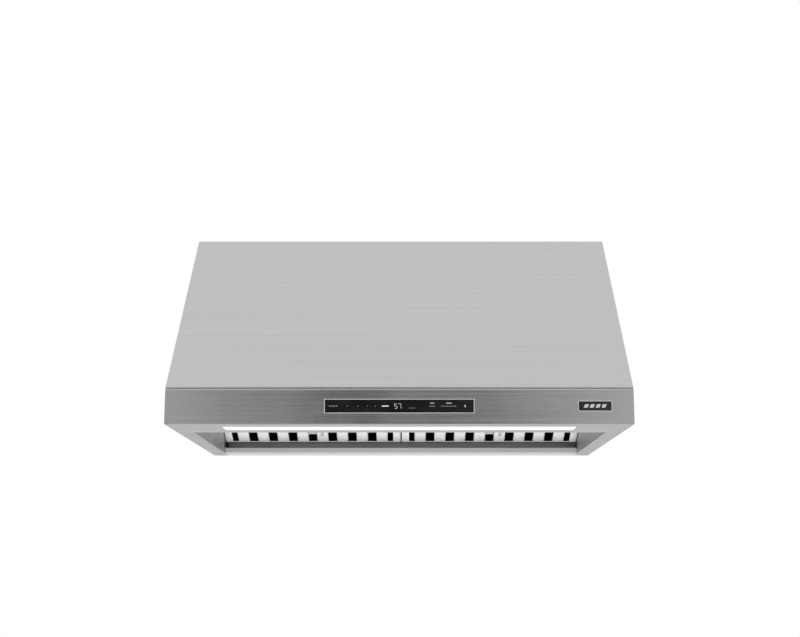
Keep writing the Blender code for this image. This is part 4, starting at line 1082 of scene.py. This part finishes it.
def build_world():
    """Brightness by direction: ceiling, horizon and ground, less a dark patch ahead of the hood."""
    world = bpy.data.worlds.new("studio")
    bpy.context.scene.world = world
    world.use_nodes = True
    tree = world.node_tree
    tree.nodes.clear()
    direction = node(tree, "TexCoord")
    spread = tree.nodes.new("ShaderNodeSeparateXYZ")
    tree.links.new(direction.socket, spread.inputs[0])
    sideways, ahead, up = (Wire(tree, socket) for socket in spread.outputs)

    def ramp(value, start, end, low, high):
        """A smooth step from one brightness to another."""
        return node(tree, "MapRange", {"interpolation_type": "SMOOTHSTEP"},
                    {"Value": value, "From Min": start, "From Max": end, "To Min": low, "To Max": high})

    above = ramp(up, 0.05, 0.9, HORIZON, CEILING)
    below = ramp(up, -0.35, -0.05, GROUND - HORIZON, 0.0)
    forward = ramp(ahead, -0.55, -0.95, 0.0, DARK_PATCH)
    aside = ramp((sideways + PATCH_SHIFT).math("ABSOLUTE"), 0.0, PATCH_WIDTH, 1.0, 0.0)
    grey = above + below - forward * aside
    shade = node(tree, "Background", None, {"Color": node(tree, "CombineXYZ", None, (grey, grey, grey))})
    plain = node(tree, "Background", None, {"Color": (1, 1, 1, 1)})
    seen = node(tree, "LightPath")
    mixed = node(tree, "MixShader", None, (seen, shade, plain))
    result = tree.nodes.new("ShaderNodeOutputWorld")
    tree.links.new(mixed.socket, result.inputs[0])


build_world()
print("world built")

# %% [markdown]
# ## Floor, lights and camera
#
# The hood hangs, so the floor lies well below it. One wide soft light stands ahead and above, a
# weaker one fills from the left, and two more look up into the recess the way a bright counter
# would. The camera is low and looks slightly up under the front edge. Its long lens keeps the
# verticals nearly straight.

# %% Floor
FLOOR_HEIGHT, FLOOR_RADIUS = -3.2, 40.0


def solid_disc(radius, low, high, around=96):
    """Two circles of points, capped."""
    angle = np.linspace(0, 2 * math.pi, around, endpoint=False)
    circle = np.stack([radius * np.cos(angle), radius * np.sin(angle)], axis=-1)
    return rings([np.column_stack([circle, np.full(around, height)]) for height in (low, high)])


floor_mesh = bpy.data.meshes.new("floor")
floor_points, floor_faces = solid_disc(FLOOR_RADIUS, FLOOR_HEIGHT - 0.01, FLOOR_HEIGHT)
floor_mesh.from_pydata(floor_points.tolist(), [], floor_faces)
floor = bpy.data.objects.new("floor", floor_mesh)
bpy.context.scene.collection.objects.link(floor)
floor_mesh.materials.append(moulded("floor_paint", (0.70, 0.70, 0.70), (0.74, 0.74, 0.74), 0.6,
                                    strength=0.02))
print("floor", FLOOR_HEIGHT, "m below the hood's lower edge")

# %% [markdown]
# The lights are large and don't show in reflections, so the steel mirrors only the planned lobes.

# %% Lights


def soft_light(name, place, target, size, power):
    """A square light that faces a target."""
    data = bpy.data.lights.new(name, "AREA")
    data.size = size
    data.energy = power
    light = bpy.data.objects.new(name, data)
    light.location = place
    light.rotation_euler = (Vector(target) - Vector(place)).to_track_quat("-Z", "Y").to_euler()
    light.visible_glossy = False
    light.visible_camera = False
    bpy.context.scene.collection.objects.link(light)


soft_light("key_light", (0.6, -2.6, 1.8), (0, 0, 0.2), 1.6, 26)
soft_light("fill_light", (-2.4, -1.4, 0.2), (0, 0, 0.2), 1.4, 9)
soft_light("under_light", (-0.1, 0.40, -1.3), (0, 0.1, 0.1), 2.2, 24)
soft_light("under_front_light", (0, -1.1, -1.1), (0, 0.1, 0.0), 1.8, 10)

print("four lights hung")

# %% [markdown]
# The camera looks up by a few degrees, and a small shift of the lens does the rest.

# %% Camera
CAMERA_PLACE = (0.01857, -2.69285, -0.29101)
CAMERA_PITCH, CAMERA_YAW = math.radians(9.656), 0.00121
CAMERA_LENS, CAMERA_SHIFT = 55.412, (-0.00921, 0.06)

camera_data = bpy.data.cameras.new("camera")
camera = bpy.data.objects.new("camera", camera_data)
bpy.context.scene.collection.objects.link(camera)
bpy.context.scene.camera = camera
camera.location = CAMERA_PLACE
camera.rotation_euler = (math.radians(90) + CAMERA_PITCH, 0, CAMERA_YAW)
camera_data.sensor_width = 36
camera_data.lens = CAMERA_LENS
camera_data.shift_x, camera_data.shift_y = CAMERA_SHIFT
camera_data.clip_end = 50
bpy.context.scene.view_settings.view_transform = "Standard"
print(len(made), "pieces made")
